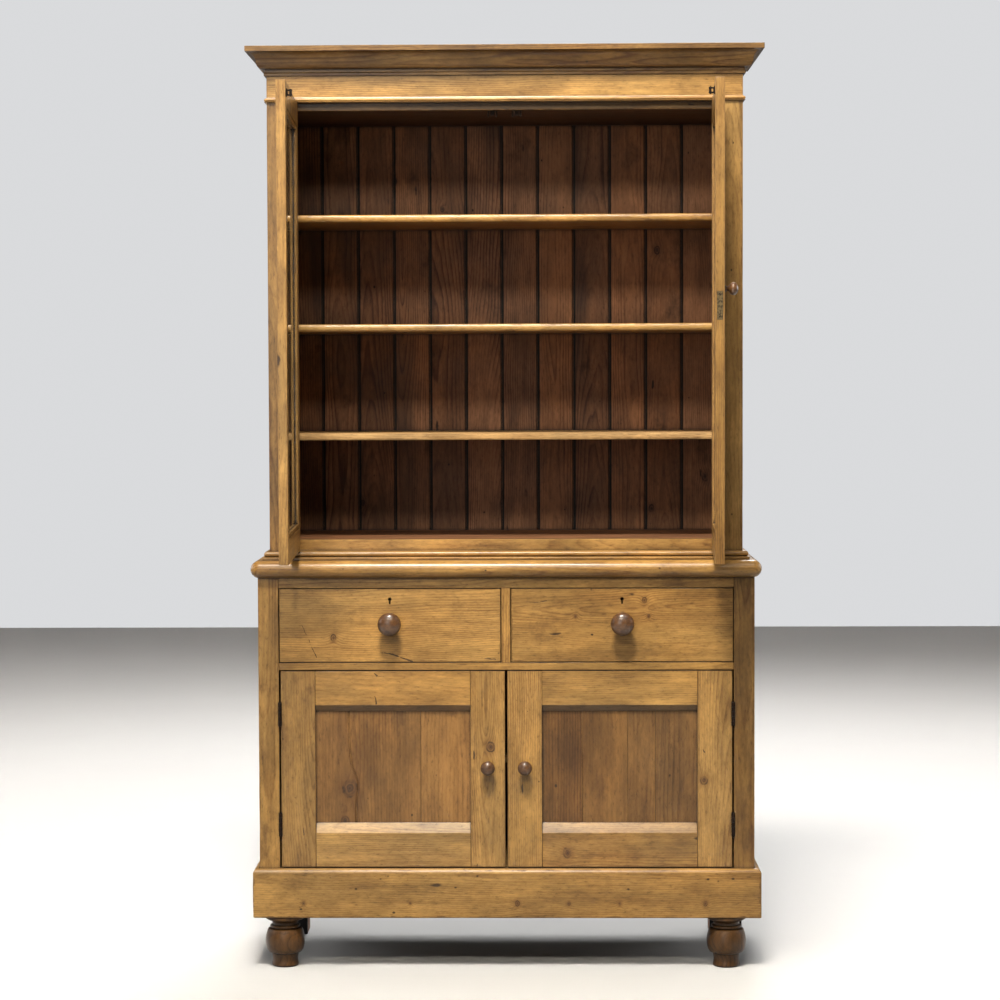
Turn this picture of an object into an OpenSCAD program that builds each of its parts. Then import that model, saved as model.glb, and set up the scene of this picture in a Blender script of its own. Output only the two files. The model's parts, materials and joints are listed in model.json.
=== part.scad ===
// Two-part glazed pantry cabinet: an upper case with two glazed doors stands on a base
// with two drawers over two panelled doors. Millimetres, +Z up, front faces -Y, +X is right.
// The upper doors stand open; every other door and drawer is shut.

/* [Base] */
// Width over the base's sides
base_w = 1206; // [960:1:1500]
// Depth of the base
base_d = 480; // [390:1:600]
// Height of the feet
foot_h = 126; // [80:1:170]
// Largest radius of the turned front feet
foot_r = 48; // [36:1:54]
// Distance of the left front foot's middle from the side
foot_in_left = 58; // [55:1:100]
// Distance of the right front foot's middle from the side
foot_in_right = 66; // [55:1:100]
// Distance of the front feet's middles from the front
foot_in_front = 34; // [30:1:60]
// Height of the plinth
plinth_h = 120; // [95:1:160]
// Thickness of the plinth boards
plinth_t = 16; // [12:1:24]
// Thickness of the base's side panels
side_t = 20; // [15:1:26]
// Width of the base's corner stiles
base_stile_w = 50; // [40:1:70]
// Thickness of stiles, rails, doors and drawer fronts
frame_t = 22; // [18:1:28]
// Height of the opening behind the lower doors
cupboard_h = 485; // [390:1:600]
// Height of the rail between doors and drawers
mid_rail_h = 18; // [14:1:30]
// Height of the drawer opening
drawer_h = 182; // [130:1:220]
// Height of the rail under the top board
top_rail_h = 25; // [18:1:40]
// Width of the upright between the drawers
divider_w = 22; // [18:1:40]
// Thickness of the top board, whose front and ends are fully rounded
top_t = 42; // [30:1:50]
// Overhang of the top board past the ends
top_over = 17; // [10:1:22]
// Overhang of the top board past the front
top_over_front = 22; // [10:1:28]

/* [Upper case] */
// Width over the upper case's sides
upper_w = 1152; // [920:1:1410]
// Depth of the upper case
upper_d = 450; // [370:1:570]
// Height from the top board to the top of the doors
opening_h = 1110; // [920:1:1340]
// Width of the case's front stiles
upper_stile_w = 48; // [40:1:60]
// Height of the moulding round the foot of the upper case
waist_h = 21; // [16:1:30]
// Projection of that moulding
waist_out = 16; // [10:1:20]
// Height of the lower rail's part above the moulding
sill_h = 27; // [20:1:40]
// Height of the frieze between doors and cornice
frieze_h = 64; // [50:1:90]
// Height of the cornice
cornice_h = 68; // [50:1:90]
// Projection of the cornice
cornice_out = 48; // [30:1:60]
// Thickness of the case's top, floor and shelves
shelf_t = 18; // [14:1:24]
// Height of the lowest shelf's middle above the case's floor
first_shelf = 250; // [200:1:300]
// Spacing of the shelves
shelf_rise = 268; // [200:1:322]
// Depth of the shelves
shelf_d = 360; // [290:1:372]
// Width of one back board
board_pitch = 92.8; // [75:0.1:112]
// Thickness of the back boards
back_t = 14; // [12:1:18]

/* [Doors and drawers] */
// How far the upper left door stands open, in degrees
open_left = 88; // [60:1:100]
// How far the upper right door stands open, in degrees
open_right = 87; // [60:1:100]
// Width of the upper doors' stiles
sash_stile_w = 62; // [50:1:80]
// Height of the upper doors' rails
sash_rail_h = 67; // [50:1:90]
// Width of the lower doors' stiles
door_stile_w = 84; // [70:1:100]
// Height of the lower doors' rails
door_rail_h = 83; // [70:1:110]
// Thickness of the glass
glass_t = 3; // [2:0.5:5]
// Thickness of the lower doors' panels
panel_t = 8; // [6:1:10]
// Depth of the panels behind the door frame's front
panel_set = 12; // [9:1:12]
// Thickness of the drawer sides
drawer_side_t = 11; // [9:1:16]
// Thickness of the drawer bottoms
drawer_bottom_t = 7; // [5:1:10]
// Radius of the drawer knobs
drawer_knob_r = 28.5; // [20:0.5:34]
// Height of the drawer knobs above the middle of the front
drawer_knob_up = 5; // [-20:1:20]
// Radius of the lower doors' knobs
door_knob_r = 17.5; // [12:0.5:20]
// Height of the lower doors' knobs above the doors' middle
door_knob_up = 5; // [-60:1:100]
// Radius of the upper door's knob
sash_knob_r = 14.5; // [11:0.5:18]

/* [Hinges and clearances] */
// Gap between the lower doors at the middle
door_gap = 6; // [3:0.5:9]
// Gap between the upper doors at the middle
sash_gap = 3; // [2:0.5:6]
// Gap over and under a door
door_rise = 2.5; // [1.5:0.5:5]
// Gap round a drawer front
drawer_gap = 2; // [1.5:0.5:4]
// Gap at the hinged edge of a lower door
hinge_gap = 4; // [3:0.5:6]
// Gap at the hinged edge of an upper door
sash_hinge_gap = 3; // [3:0.5:5]
// Height of a hinge
hinge_h = 58; // [45:1:80]
// Radius of a hinge knuckle
knuckle_r = 4; // [3.5:0.1:5]
// Radius of a hinge pin
pin_r = 1.8; // [1.4:0.1:2.2]
// Running clearance round a hinge pin
pin_clear = 0.06; // [0.03:0.01:0.09]

/* [Hidden] */

pine = [0.75, 0.55, 0.31];
pale_pine = [0.82, 0.66, 0.42];
dark_pine = [0.33, 0.20, 0.12];
knob_wood = [0.58, 0.33, 0.16];
iron = [0.16, 0.13, 0.11];
brass = [0.62, 0.50, 0.28];
clear = [0.75, 0.82, 0.80, 0.35];

$fn = 64;
e = 0.01;                       // overlap that lets a cut pass through a face
mitre = 0.4;                    // joint left between mitred mouldings
slip = 0.4;                     // clearance of a tongue, tenon, pane or panel in its groove
board_joint = 4.5;              // gap between neighbouring back boards, which have shrunk

// Heights, from the floor
plinth_z = foot_h;
carcass_z = foot_h + plinth_h;
mid_rail_z = carcass_z + cupboard_h;
drawer_z = mid_rail_z + mid_rail_h;
top_rail_z = drawer_z + drawer_h;
top_z = top_rail_z + top_rail_h;
upper_z = top_z + top_t;
sill_z = upper_z + waist_h;
floor_z = sill_z + sill_h;
head_z = upper_z + opening_h;
cornice_z = head_z + frieze_h;
full_h = cornice_z + cornice_h;
ceiling_z = head_z - shelf_t;

// Upper doors
opening_w = upper_w - 2 * upper_stile_w;
sash_w = (opening_w - 2 * sash_hinge_gap - sash_gap) / 2;
sash_z = sill_z + door_rise;
sash_h = head_z - door_rise - sash_z;
sash_pivot_x = opening_w / 2 - sash_hinge_gap / 2;
sash_hinge_in = 150;            // distance of an outer hinge's middle from the end of the sash
rebate = 10;                    // width of the rebate that holds the pane
rebate_d = 12;                  // depth of that rebate from the back of the sash
tenon_l = 22;
tenon_t = 7;
tenon_in = 12;                  // shoulder between a tenon and the rail's edge

// Lower doors
cupboard_w = base_w - 2 * base_stile_w;
door_w = (cupboard_w - 2 * hinge_gap - door_gap) / 2;
door_z = carcass_z + door_rise;
door_h = mid_rail_z - door_rise - door_z;
door_pivot_x = cupboard_w / 2 - hinge_gap / 2;
door_hinge_in = 105;            // distance of a hinge's middle from the end of the door
low_bevel_h = 25;               // height of the lower rail's sloping edge under the panel
high_bevel_h = 16;              // height of the upper rail's sloping edge over the panel
groove_d = 9;                   // depth of the panel groove

// Drawers
drawer_open_w = (cupboard_w - divider_w) / 2;
drawer_w = drawer_open_w - 2 * drawer_gap;
drawer_front_h = drawer_h - 2 * drawer_gap;
drawer_side_h = drawer_front_h - 18;
drawer_len = base_d - frame_t - back_t - 24;
drawer_x = divider_w / 2 + drawer_open_w / 2;
mid_rail_d = 60;                // depth of the rail between doors and drawers
runner_w = 40;
guide_h = 20;
cock = 9;                       // height of the drawer bottom above the side's lower edge
drawer_lap = frame_t - 8;       // depth at which the drawer sides meet the front
side_lap = 9;                   // depth of the rebates that hold the drawer sides

// Depths: the origin is under the middle of the box that holds the open doors
front_to_case = base_d - upper_d;
reach = sash_w * sin(min(open_left, 90)) - front_to_case + knuckle_r;
base_y = (reach - base_d) / 2;
case_y = base_y + front_to_case;
back_y = base_y + base_d;
inner_w = upper_w - 2 * side_t;
base_inner_w = base_w - 2 * side_t;
behind = 1;                     // gap between a shut door and the rail behind it
head_y = case_y + frame_t + behind;
head_t = 22;
shelf_y = back_y - back_t - shelf_d;

// Shelves, counted from the lowest
low_shelf_t = shelf_t - 2;      // the lowest shelf is a thinner board
function shelf_mid(k) = floor_z + first_shelf + (k - 1) * shelf_rise;
lock_h = 63;
lock_z = sash_z + sash_h / 2 + 36;
sash_knob_up = 38;              // height of the upper door's knob above its lock's middle
keyhole_r = 4.2;
keyhole_drop = 12;              // length of the slot under a keyhole's round part
cut = 60;                       // radial room that a mitring prism leaves round a moulding

// ---- shared shapes ----

module box(lo, hi) {
    translate(lo) cube(hi - lo);
}

// A board along X whose front edge is rounded to radius r; y is its front, d its depth
module nosed_board(w, d, t, r) {
    rotate([90, 0, 90]) translate([0, 0, -w / 2]) linear_extrude(w) {
        translate([r, 0]) square([d - r, t]);
        translate([r, t / 2]) intersection() {
            scale([r / (t / 2), 1]) circle(t / 2);
            translate([-t, -t]) square([t + e, 2 * t]);
        }
    }
}

// Profiles are lists of [projection, height]. front_run lays one along the front of a
// case of width w; side_run lays it along the left side. Both end in mitres.
module front_run(profile, w, y, out) {
    intersection() {
        translate([-w / 2 - out, y, 0]) rotate([90, 0, 90])
            linear_extrude(w + 2 * out) polygon([for (p = profile) [-p[0], p[1]]]);
        translate([0, y, 0]) linear_extrude(full_h)
            polygon([[-w / 2 + mitre / 2, e], [w / 2 - mitre / 2, e],
                     [w / 2 - mitre / 2 + cut, -cut], [-w / 2 + mitre / 2 - cut, -cut]]);
    }
}

module side_run(profile, w, y, y_end) {
    intersection() {
        translate([-w / 2, y_end, 0]) rotate([90, 0, 0])
            linear_extrude(y_end - y + cut) polygon([for (p = profile) [-p[0], p[1]]]);
        linear_extrude(full_h)
            polygon([[-w / 2 + e, y + mitre / 2], [-w / 2 + e, y_end],
                     [-w / 2 - cut, y_end], [-w / 2 - cut, y + mitre / 2 - cut]]);
    }
}

module mitred_run(profile, w, y, y_end, out) {
    front_run(profile, w, y, out);
    side_run(profile, w, y, y_end);
    mirror([1, 0, 0]) side_run(profile, w, y, y_end);
}

// Vertical tongued and grooved boards between x0 and x1; the joints fall at first + n * pitch
module matched_boards(x0, x1, first, pitch, z0, z1, y, t) {
    joints = [x0, for (x = [first:pitch:x1 - 20]) x, x1];
    tongue = board_joint + 5;
    groove = 6;
    for (i = [0:len(joints) - 2]) {
        left = joints[i] + (i > 0 ? board_joint / 2 : 0);
        right = joints[i + 1] - (i < len(joints) - 2 ? board_joint / 2 : 0);
        difference() {
            union() {
                box([left, y, z0], [right, y + t, z1]);
                if (i < len(joints) - 2)
                    box([right - e, y + t / 3 + slip / 2, z0],
                        [right + tongue, y + 2 * t / 3 - slip / 2, z1]);
            }
            if (i > 0)
                box([left - e, y + t / 3 - slip / 2, z0 - e],
                    [left + groove, y + 2 * t / 3 + slip / 2, z1 + e]);
        }
    }
}

// A turned knob on a stem: r is its radius and out its reach from the face at y = 0.
// Its dowel fits the hole that knob_hole cuts.
knob_dowel_r = 4.5;
knob_dowel_l = frame_t - 5;

module turned_knob(r, out, stem_r, stem_l) {
    rotate([90, 0, 0]) rotate_extrude() {
        translate([0, -knob_dowel_l]) square([knob_dowel_r, knob_dowel_l + e]);
        square([stem_r + 2, 3]);
        square([stem_r, stem_l]);
        intersection() {
            translate([0, (out + stem_l) / 2 - 1]) scale([1, (out - stem_l + 3) / (2 * r)]) circle(r);
            translate([0, stem_l - 1]) square([r + 1, out]);
        }
    }
}

module knob_hole() {
    translate([0, -e, 0]) rotate([-90, 0, 0]) cylinder(r = knob_dowel_r + slip / 2, h = knob_dowel_l + 1);
}

// ---- hinges ----
// The pin stands at the origin. The case is at -X and the door at +X, both behind y = knuckle_r.
leaf_t = 1.2;
leaf_w = 18;
seg = hinge_h / 5;
seg_gap = 0.5;

module knuckle(i, bore) {
    translate([0, 0, -hinge_h / 2 + i * seg + seg_gap / 2]) difference() {
        cylinder(r = knuckle_r, h = seg - seg_gap);
        if (bore) translate([0, 0, -e]) cylinder(r = pin_r + pin_clear, h = seg);
    }
}

module neck(i, x0, bore) {
    z0 = -hinge_h / 2 + i * seg + seg_gap / 2;
    difference() {
        box([x0, 0, z0], [x0 + leaf_t, knuckle_r + 1, z0 + seg - seg_gap]);
        if (bore) translate([0, 0, z0 - e]) cylinder(r = pin_r + pin_clear, h = seg);
    }
}

module leaf(x0) {
    box([x0, knuckle_r + 0.5, -hinge_h / 2], [x0 + leaf_t, knuckle_r + leaf_w, hinge_h / 2]);
}

module hinge_case_half(gap) {
    leaf(-gap / 2);
    for (i = [0, 2, 4]) {
        knuckle(i, false);
        neck(i, -gap / 2, false);
    }
    translate([0, 0, -hinge_h / 2 - 1]) cylinder(r = pin_r, h = hinge_h + 2);
}

module hinge_door_half(gap) {
    leaf(gap / 2 - leaf_t);
    for (i = [1, 3]) {
        knuckle(i, true);
        neck(i, gap / 2 - leaf_t, true);
    }
}

sash_hinge_z = [sash_z + sash_hinge_in, sash_z + sash_h / 2, sash_z + sash_h - sash_hinge_in];
door_hinge_z = [door_z + door_hinge_in, door_z + door_h - door_hinge_in];

// ---- placing doors and drawers ----
// A sash or door is drawn with its hinged edge at x = 0, its front at y = 0 and its foot at z = 0.

module hang_left_sash() {
    translate([-sash_pivot_x, case_y - knuckle_r, sash_z]) rotate([0, 0, -open_left])
        translate([sash_hinge_gap / 2, knuckle_r, 0]) children();
}

module hang_right_sash() {
    mirror([1, 0, 0]) translate([-sash_pivot_x, case_y - knuckle_r, sash_z])
        rotate([0, 0, -open_right]) translate([sash_hinge_gap / 2, knuckle_r, 0]) children();
}

module hang_left_door() {
    translate([-cupboard_w / 2 + hinge_gap, base_y, door_z]) children();
}

module hang_right_door() {
    mirror([1, 0, 0]) hang_left_door() children();
}

module place_drawer(side) {
    translate([side * drawer_x, base_y, drawer_z + drawer_gap]) children();
}

// ---- base ----

// From the floor up: a waisted collar, a barrel, a ring, a hollow neck and a disc
foot_collar_h = 33;
foot_top_h = 34;                // height of the ring, neck and disc above the barrel
foot_collar_r = foot_r - 15;
barrel_low = foot_collar_h + 2;
barrel_high = foot_h - foot_top_h;
barrel_mid = (barrel_low + barrel_high) / 2;
foot_profile = concat(
    [[0, 0], [foot_collar_r - 4, 0], [foot_collar_r, 5], [foot_collar_r - 2, foot_collar_h / 2],
     [foot_collar_r, foot_collar_h], [foot_r - 7, barrel_low]],
    [for (t = [-0.8:0.2:1]) [foot_r - 6 * t * t, barrel_mid + t * (barrel_high - barrel_mid)]],
    [[foot_collar_r, barrel_high + 2], [foot_collar_r + 2, barrel_high + 4],
     [foot_collar_r + 2, barrel_high + 10], [foot_collar_r - 2, barrel_high + 13]],
    [for (a = [0:15:90]) [foot_collar_r - 2 + 11 * (1 - cos(a)), barrel_high + 14 + 11 * sin(a)]],
    [[foot_r, foot_h - 8], [foot_r, foot_h], [0, foot_h]]);

module front_feet() {
    color(pine) for (x = [-base_w / 2 + foot_in_left, base_w / 2 - foot_in_right])
        translate([x, base_y + foot_in_front, 0]) rotate_extrude() polygon(foot_profile);
}

rear_foot_w = 82;

module rear_feet() {
    color(dark_pine) for (s = [-1, 1])
        translate([s * (base_w - rear_foot_w) / 2, back_y - rear_foot_w, 0])
            translate([-rear_foot_w / 2, 0, 0]) cube([rear_foot_w, rear_foot_w, foot_h]);
}

module corner_blocks() {
    block = 70;
    floor_low = carcass_z - shelf_t;
    color(dark_pine) for (s = [-1, 1]) {
        x = s * (base_inner_w / 2 - block / 2);
        for (y = [base_y + frame_t, back_y - back_t - block])
            translate([x, y, 0]) box([-block / 2, 0, foot_h], [block / 2, block, floor_low]);
    }
}

plinth_profile = concat(
    [[0, plinth_z], [plinth_t, plinth_z], [plinth_t, carcass_z - plinth_t * 0.75]],
    [for (a = [15:15:90]) [plinth_t * (0.25 + 0.75 * cos(a)), carcass_z - plinth_t * 0.75 * (1 - sin(a))]],
    [[0, carcass_z]]);

module plinth() {
    color(pine) mitred_run(plinth_profile, base_w, base_y, back_y, plinth_t);
}

module base_sides() {
    color(pine) for (s = [-1, 1]) translate([s * (base_w - side_t) / 2, 0, 0])
        box([-side_t / 2, base_y + frame_t, foot_h], [side_t / 2, back_y, top_z]);
}

module base_stiles() {
    color(pine) for (s = [-1, 1]) translate([s * (base_w - base_stile_w) / 2, 0, 0])
        box([-base_stile_w / 2, base_y, foot_h], [base_stile_w / 2, base_y + frame_t, top_z]);
}

module base_rails() {
    half = cupboard_w / 2;
    color(pine) {
        box([-half, base_y, top_rail_z], [half, base_y + frame_t, top_z]);
        box([-half, base_y, mid_rail_z], [half, base_y + mid_rail_d, drawer_z]);
        box([-half, base_y, foot_h], [half, base_y + frame_t, carcass_z - shelf_t]);
    }
}

module drawer_divider() {
    color(pine) box([-divider_w / 2, base_y, drawer_z],
        [divider_w / 2, base_y + mid_rail_d - 20, top_rail_z]);
}

module drawer_runners() {
    y0 = base_y + mid_rail_d;
    side_x = base_inner_w / 2;
    color(pale_pine) {
        for (s = [-1, 1]) translate([s * (side_x - runner_w), 0, 0])
            box([-runner_w, y0, mid_rail_z], [runner_w, back_y - back_t, drawer_z]);
        box([-runner_w, y0, mid_rail_z], [runner_w, back_y - back_t, drawer_z]);
    }
}

module drawer_guides() {
    y0 = base_y + mid_rail_d + 2;
    edge = cupboard_w / 2;
    color(pale_pine) {
        for (s = [-1, 1]) translate([s * (edge + base_inner_w / 2) / 2, 0, 0])
            box([-(base_inner_w / 2 - edge) / 2, y0, drawer_z],
                [(base_inner_w / 2 - edge) / 2, back_y - back_t, drawer_z + guide_h]);
        box([-divider_w / 2, y0, drawer_z], [divider_w / 2, back_y - back_t, drawer_z + guide_h]);
    }
}

module base_floor() {
    color(pale_pine) union() {
        box([-base_inner_w / 2, base_y + frame_t, carcass_z - shelf_t],
            [base_inner_w / 2, back_y - back_t, carcass_z]);
        box([-cupboard_w / 2, base_y, carcass_z - shelf_t],
            [cupboard_w / 2, base_y + frame_t + e, carcass_z]);
    }
}

base_shelf_z = carcass_z + cupboard_h / 2;
base_shelf_y = base_y + 110;

module base_shelf() {
    color(pale_pine) box([-base_inner_w / 2 + 1, base_shelf_y, base_shelf_z],
        [base_inner_w / 2 - 1, back_y - back_t, base_shelf_z + shelf_t]);
}

module base_bearers() {
    color(pale_pine) for (s = [-1, 1]) translate([s * (base_inner_w / 2 - 9), 0, 0])
        box([-9, base_shelf_y + 10, base_shelf_z - 28], [9, back_y - back_t, base_shelf_z]);
}

module base_back_boards() {
    color(dark_pine) matched_boards(-base_inner_w / 2, base_inner_w / 2,
        -base_inner_w / 2 + board_pitch * 1.5, board_pitch * 1.5, foot_h, top_z,
        back_y - back_t, back_t);
}

module door_stops() {
    color(pale_pine) for (s = [-1, 1])
        translate([s * 60, base_y + frame_t + behind, mid_rail_z - 12]) translate([-25, 0, 0])
            cube([50, 12, 12]);
}

module base_top() {
    r = top_t / 2;
    left = -base_w / 2 - top_over + r;
    right = -left;
    front = base_y - top_over_front + r;
    color(pine) translate([0, 0, top_z]) union() {
        box([left, front, 0], [right, back_y, top_t]);
        translate([left, front, r]) rotate([0, 90, 0]) cylinder(r = r, h = right - left);
        for (x = [left, right]) {
            translate([x, front, r]) rotate([-90, 0, 0]) cylinder(r = r, h = back_y - front);
            translate([x, front, r]) sphere(r);
        }
    }
}

// A bead over a fillet
waist_profile = concat(
    [[0, upper_z], [waist_out, upper_z], [waist_out, upper_z + waist_h * 0.28],
     [waist_out - 3, upper_z + waist_h * 0.34]],
    [for (a = [-60:20:100]) [waist_out - 3 - waist_h * 0.3 + waist_h * 0.3 * cos(a),
                             upper_z + waist_h * 0.68 + waist_h * 0.32 * sin(a)]],
    [[0, sill_z]]);

module waist_moulding() {
    color(pine) mitred_run(waist_profile, upper_w, case_y, back_y, waist_out);
}

// ---- upper case ----

module case_sides() {
    color(pine) for (s = [-1, 1]) translate([s * (upper_w - side_t) / 2, 0, 0])
        box([-side_t / 2, case_y + frame_t, upper_z], [side_t / 2, back_y, full_h - 12]);
}

module case_stiles() {
    color(pine) for (s = [-1, 1]) translate([s * (upper_w - upper_stile_w) / 2, 0, 0])
        box([-upper_stile_w / 2, case_y, upper_z], [upper_stile_w / 2, case_y + frame_t, head_z]);
}

module case_sill_rail() {
    half = opening_w / 2;
    color(pine) union() {
        box([-half, case_y, upper_z], [half, head_y + head_t, sill_z]);
        box([-half, head_y, sill_z - e], [half, head_y + head_t, floor_z]);
    }
}

module case_head_rail() {
    color(pine) box([-inner_w / 2, head_y, ceiling_z], [inner_w / 2, head_y + head_t, head_z + 24]);
}

module case_floor() {
    color(dark_pine) box([-inner_w / 2, head_y + head_t, floor_z - shelf_t],
        [inner_w / 2, back_y - back_t, floor_z]);
}

module case_ceiling() {
    color(dark_pine) box([-inner_w / 2, head_y + head_t, ceiling_z],
        [inner_w / 2, back_y - back_t, ceiling_z + shelf_t]);
}

module case_back_boards() {
    first = -inner_w / 2 + board_pitch * 0.84;
    color(dark_pine) matched_boards(-inner_w / 2, inner_w / 2, first, board_pitch,
        upper_z, full_h - 12, back_y - back_t, back_t);
}

module frieze() {
    color(pine) box([-upper_w / 2, case_y, head_z], [upper_w / 2, case_y + frame_t, full_h - 12]);
}

astragal_out = 6;
astragal_profile = concat([[0, head_z + 1], [astragal_out, head_z + 1]],
    [for (a = [-60:30:90]) [astragal_out - 4 + 4 * cos(a), head_z + 6 + 4 * sin(a)]],
    [[1.5, head_z + 10], [0, head_z + 13]]);

module astragal() {
    color(pine) mitred_run(astragal_profile, upper_w, case_y, back_y, astragal_out);
}

// From the top: a square fillet, a hollow, a round, a quirk and a lower fillet
fillet_h = cornice_h * 0.19;
quirk_h = cornice_h * 0.23;
hollow_h = cornice_h * 0.34;
round_h = cornice_h - fillet_h - quirk_h - hollow_h;
cornice_low = 9;
hollow_out = (cornice_out - cornice_low - 3) * 0.6;
round_out = cornice_out - cornice_low - 3 - hollow_out;
cornice_profile = concat(
    [[0, cornice_z], [cornice_low - 3, cornice_z], [cornice_low - 3, cornice_z + quirk_h * 0.35],
     [cornice_low - 5, cornice_z + quirk_h * 0.55], [cornice_low - 5, cornice_z + quirk_h]],
    [for (a = [0:15:90]) [cornice_low + round_out * sin(a), cornice_z + quirk_h + round_h * (1 - cos(a))]],
    [for (a = [15:15:90]) [cornice_low + round_out + hollow_out * (1 - cos(a)),
                           cornice_z + quirk_h + round_h + hollow_h * sin(a)]],
    [[cornice_out, full_h - fillet_h], [cornice_out, full_h], [0, full_h]]);

module cornice() {
    color(pine) mitred_run(cornice_profile, upper_w, case_y, back_y, cornice_out);
}

module cornice_blocks() {
    block = 34;
    color(pale_pine) for (x = [-inner_w / 2 + block, -inner_w / 6, inner_w / 6, inner_w / 2 - block])
        box([x - block / 2, head_y - behind, cornice_z], [x + block / 2, head_y + block, full_h - 14]);
}

module shelf(k, t, r) {
    translate([0, shelf_y, shelf_mid(k) - t / 2]) nosed_board(inner_w - 1, shelf_d, t, r);
}

module shelf_top() {
    color(pine) shelf(3, shelf_t, 6);
}

module shelf_middle() {
    color(pine) shelf(2, shelf_t, 6);
}

module shelf_bottom() {
    color(pale_pine) shelf(1, low_shelf_t, 2);
}

module shelf_bearers() {
    bearer = 18;
    thick = [low_shelf_t, shelf_t, shelf_t];
    color(dark_pine) for (s = [-1, 1]) for (k = [1:3]) {
        z = shelf_mid(k) - thick[k - 1] / 2;
        translate([s * (inner_w / 2 - bearer / 2), 0, 0])
            box([-bearer / 2, shelf_y + 12, z - 26], [bearer / 2, back_y - back_t, z]);
    }
}

module case_hinges() {
    color(iron) for (s = [0, 1]) mirror([s, 0, 0]) {
        for (z = sash_hinge_z) translate([-sash_pivot_x, case_y - knuckle_r, z])
            hinge_case_half(sash_hinge_gap);
        for (z = door_hinge_z) translate([-door_pivot_x, base_y - knuckle_r, z])
            hinge_case_half(hinge_gap);
    }
}

// Catches: a tongue under the ceiling runs between two rollers on the door
catch_x = 28;                   // from the middle of the case
catch_z = ceiling_z - 11;
catch_y = head_y + head_t;
tongue_t = 3;
roller_r = 3;

module catch_keepers() {
    color(iron) for (s = [-1, 1]) translate([s * (catch_x + sash_gap / 2), 0, 0]) {
        box([-5, catch_y, ceiling_z - 3], [5, catch_y + 16, ceiling_z]);
        box([-5, catch_y, catch_z - tongue_t / 2], [5, catch_y + 3, ceiling_z]);
        box([-4, catch_y - 12, catch_z - tongue_t / 2], [4, catch_y + 1, catch_z + tongue_t / 2]);
    }
}

// ---- upper doors ----
sash_tenon_y = (frame_t - rebate_d - tenon_t) / 2 + 2;

module at_sash_knob() {
    translate([sash_w - sash_stile_w / 2, 0, lock_z + sash_knob_up - sash_z]) children();
}

// A stile with a rebate for the pane on its inner back edge and mortises for the rails
module sash_stile() {
    difference() {
        cube([sash_stile_w, frame_t, sash_h]);
        translate([sash_stile_w - rebate, frame_t - rebate_d, sash_rail_h - rebate])
            cube([rebate + e, rebate_d + e, sash_h - 2 * (sash_rail_h - rebate)]);
        for (z = [0, sash_h - sash_rail_h])
            translate([sash_stile_w - tenon_l - slip, sash_tenon_y - slip / 2,
                       z + tenon_in - slip / 2])
                cube([tenon_l + slip + e, tenon_t + slip, sash_rail_h - 2 * tenon_in + slip]);
    }
}

module sash_rail() {
    len = sash_w - 2 * sash_stile_w;
    translate([sash_stile_w, 0, 0]) difference() {
        union() {
            cube([len, frame_t, sash_rail_h]);
            translate([-tenon_l, sash_tenon_y, tenon_in])
                cube([len + 2 * tenon_l, tenon_t, sash_rail_h - 2 * tenon_in]);
        }
        translate([-e, frame_t - rebate_d, sash_rail_h - rebate])
            cube([len + 2 * e, rebate_d + e, rebate + e]);
    }
}

module sash_stiles(mortised) {
    sash_stile();
    difference() {
        translate([sash_w, 0, 0]) mirror([1, 0, 0]) sash_stile();
        if (mortised) {
            lock_mortise();
            at_sash_knob() knob_hole();
        }
    }
}

module sash_rails() {
    sash_rail();
    translate([0, 0, sash_h]) mirror([0, 0, 1]) sash_rail();
}

module sash_glass() {
    edge = rebate - 1;
    translate([sash_stile_w - edge, frame_t - rebate_d + slip, sash_rail_h - edge])
        cube([sash_w - 2 * (sash_stile_w - edge), glass_t, sash_h - 2 * (sash_rail_h - edge)]);
}

module sash_beads() {
    y0 = frame_t - rebate_d + glass_t + 2 * slip;
    y1 = frame_t - 1;
    x0 = sash_stile_w - rebate + slip;
    z0 = sash_rail_h - rebate + slip;
    for (x = [x0, sash_w - x0 - rebate]) box([x, y0, z0], [x + rebate, y1, sash_h - z0]);
    for (z = [z0, sash_h - z0 - rebate])
        box([x0 + rebate + slip, y0, z], [sash_w - x0 - rebate - slip, y1, z + rebate]);
}

module sash_fittings() {
    for (z = sash_hinge_z) translate([-sash_hinge_gap / 2, -knuckle_r, z - sash_z])
        hinge_door_half(sash_hinge_gap);
    translate([sash_w - catch_x, frame_t, catch_z - sash_z]) {
        box([-5, 0, -9], [5, 2, 9]);
        for (z = [-1, 1]) translate([0, 0, z * (tongue_t / 2 + roller_r + 0.7)]) {
            for (x = [-5, 3.5]) translate([x, 1, -1.5]) cube([1.5, 13, 3]);
            translate([-5, 10, 0]) rotate([0, 90, 0]) cylinder(r = roller_r, h = 10);
        }
    }
}

lock_t = 9;
lock_d = 46;
lock_plate_t = 1.6;
lock_plate_w = 12;
lock_body_h = lock_h - 12;

// A keyhole bored to the given depth from the face at y = 0
module keyhole(depth) {
    translate([0, -e, 0]) {
        rotate([-90, 0, 0]) cylinder(r = keyhole_r, h = depth + e);
        translate([-keyhole_r / 2, 0, -keyhole_drop]) cube([keyhole_r, depth + e, keyhole_drop]);
    }
}

module lock_mortise() {
    z = lock_z - sash_z;
    body = lock_t + 2 * slip;
    plate = lock_plate_w + slip;
    translate([sash_w - lock_d - slip, (frame_t - body) / 2, z - lock_body_h / 2 - slip])
        cube([lock_d + 2 * slip, body, lock_body_h + 2 * slip]);
    translate([sash_w - lock_plate_t, (frame_t - plate) / 2, z - lock_h / 2 - slip / 2])
        cube([lock_plate_t + e, plate, lock_h + slip]);
    translate([sash_w - lock_d / 2, 0, z]) keyhole(frame_t / 2);
}

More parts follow.
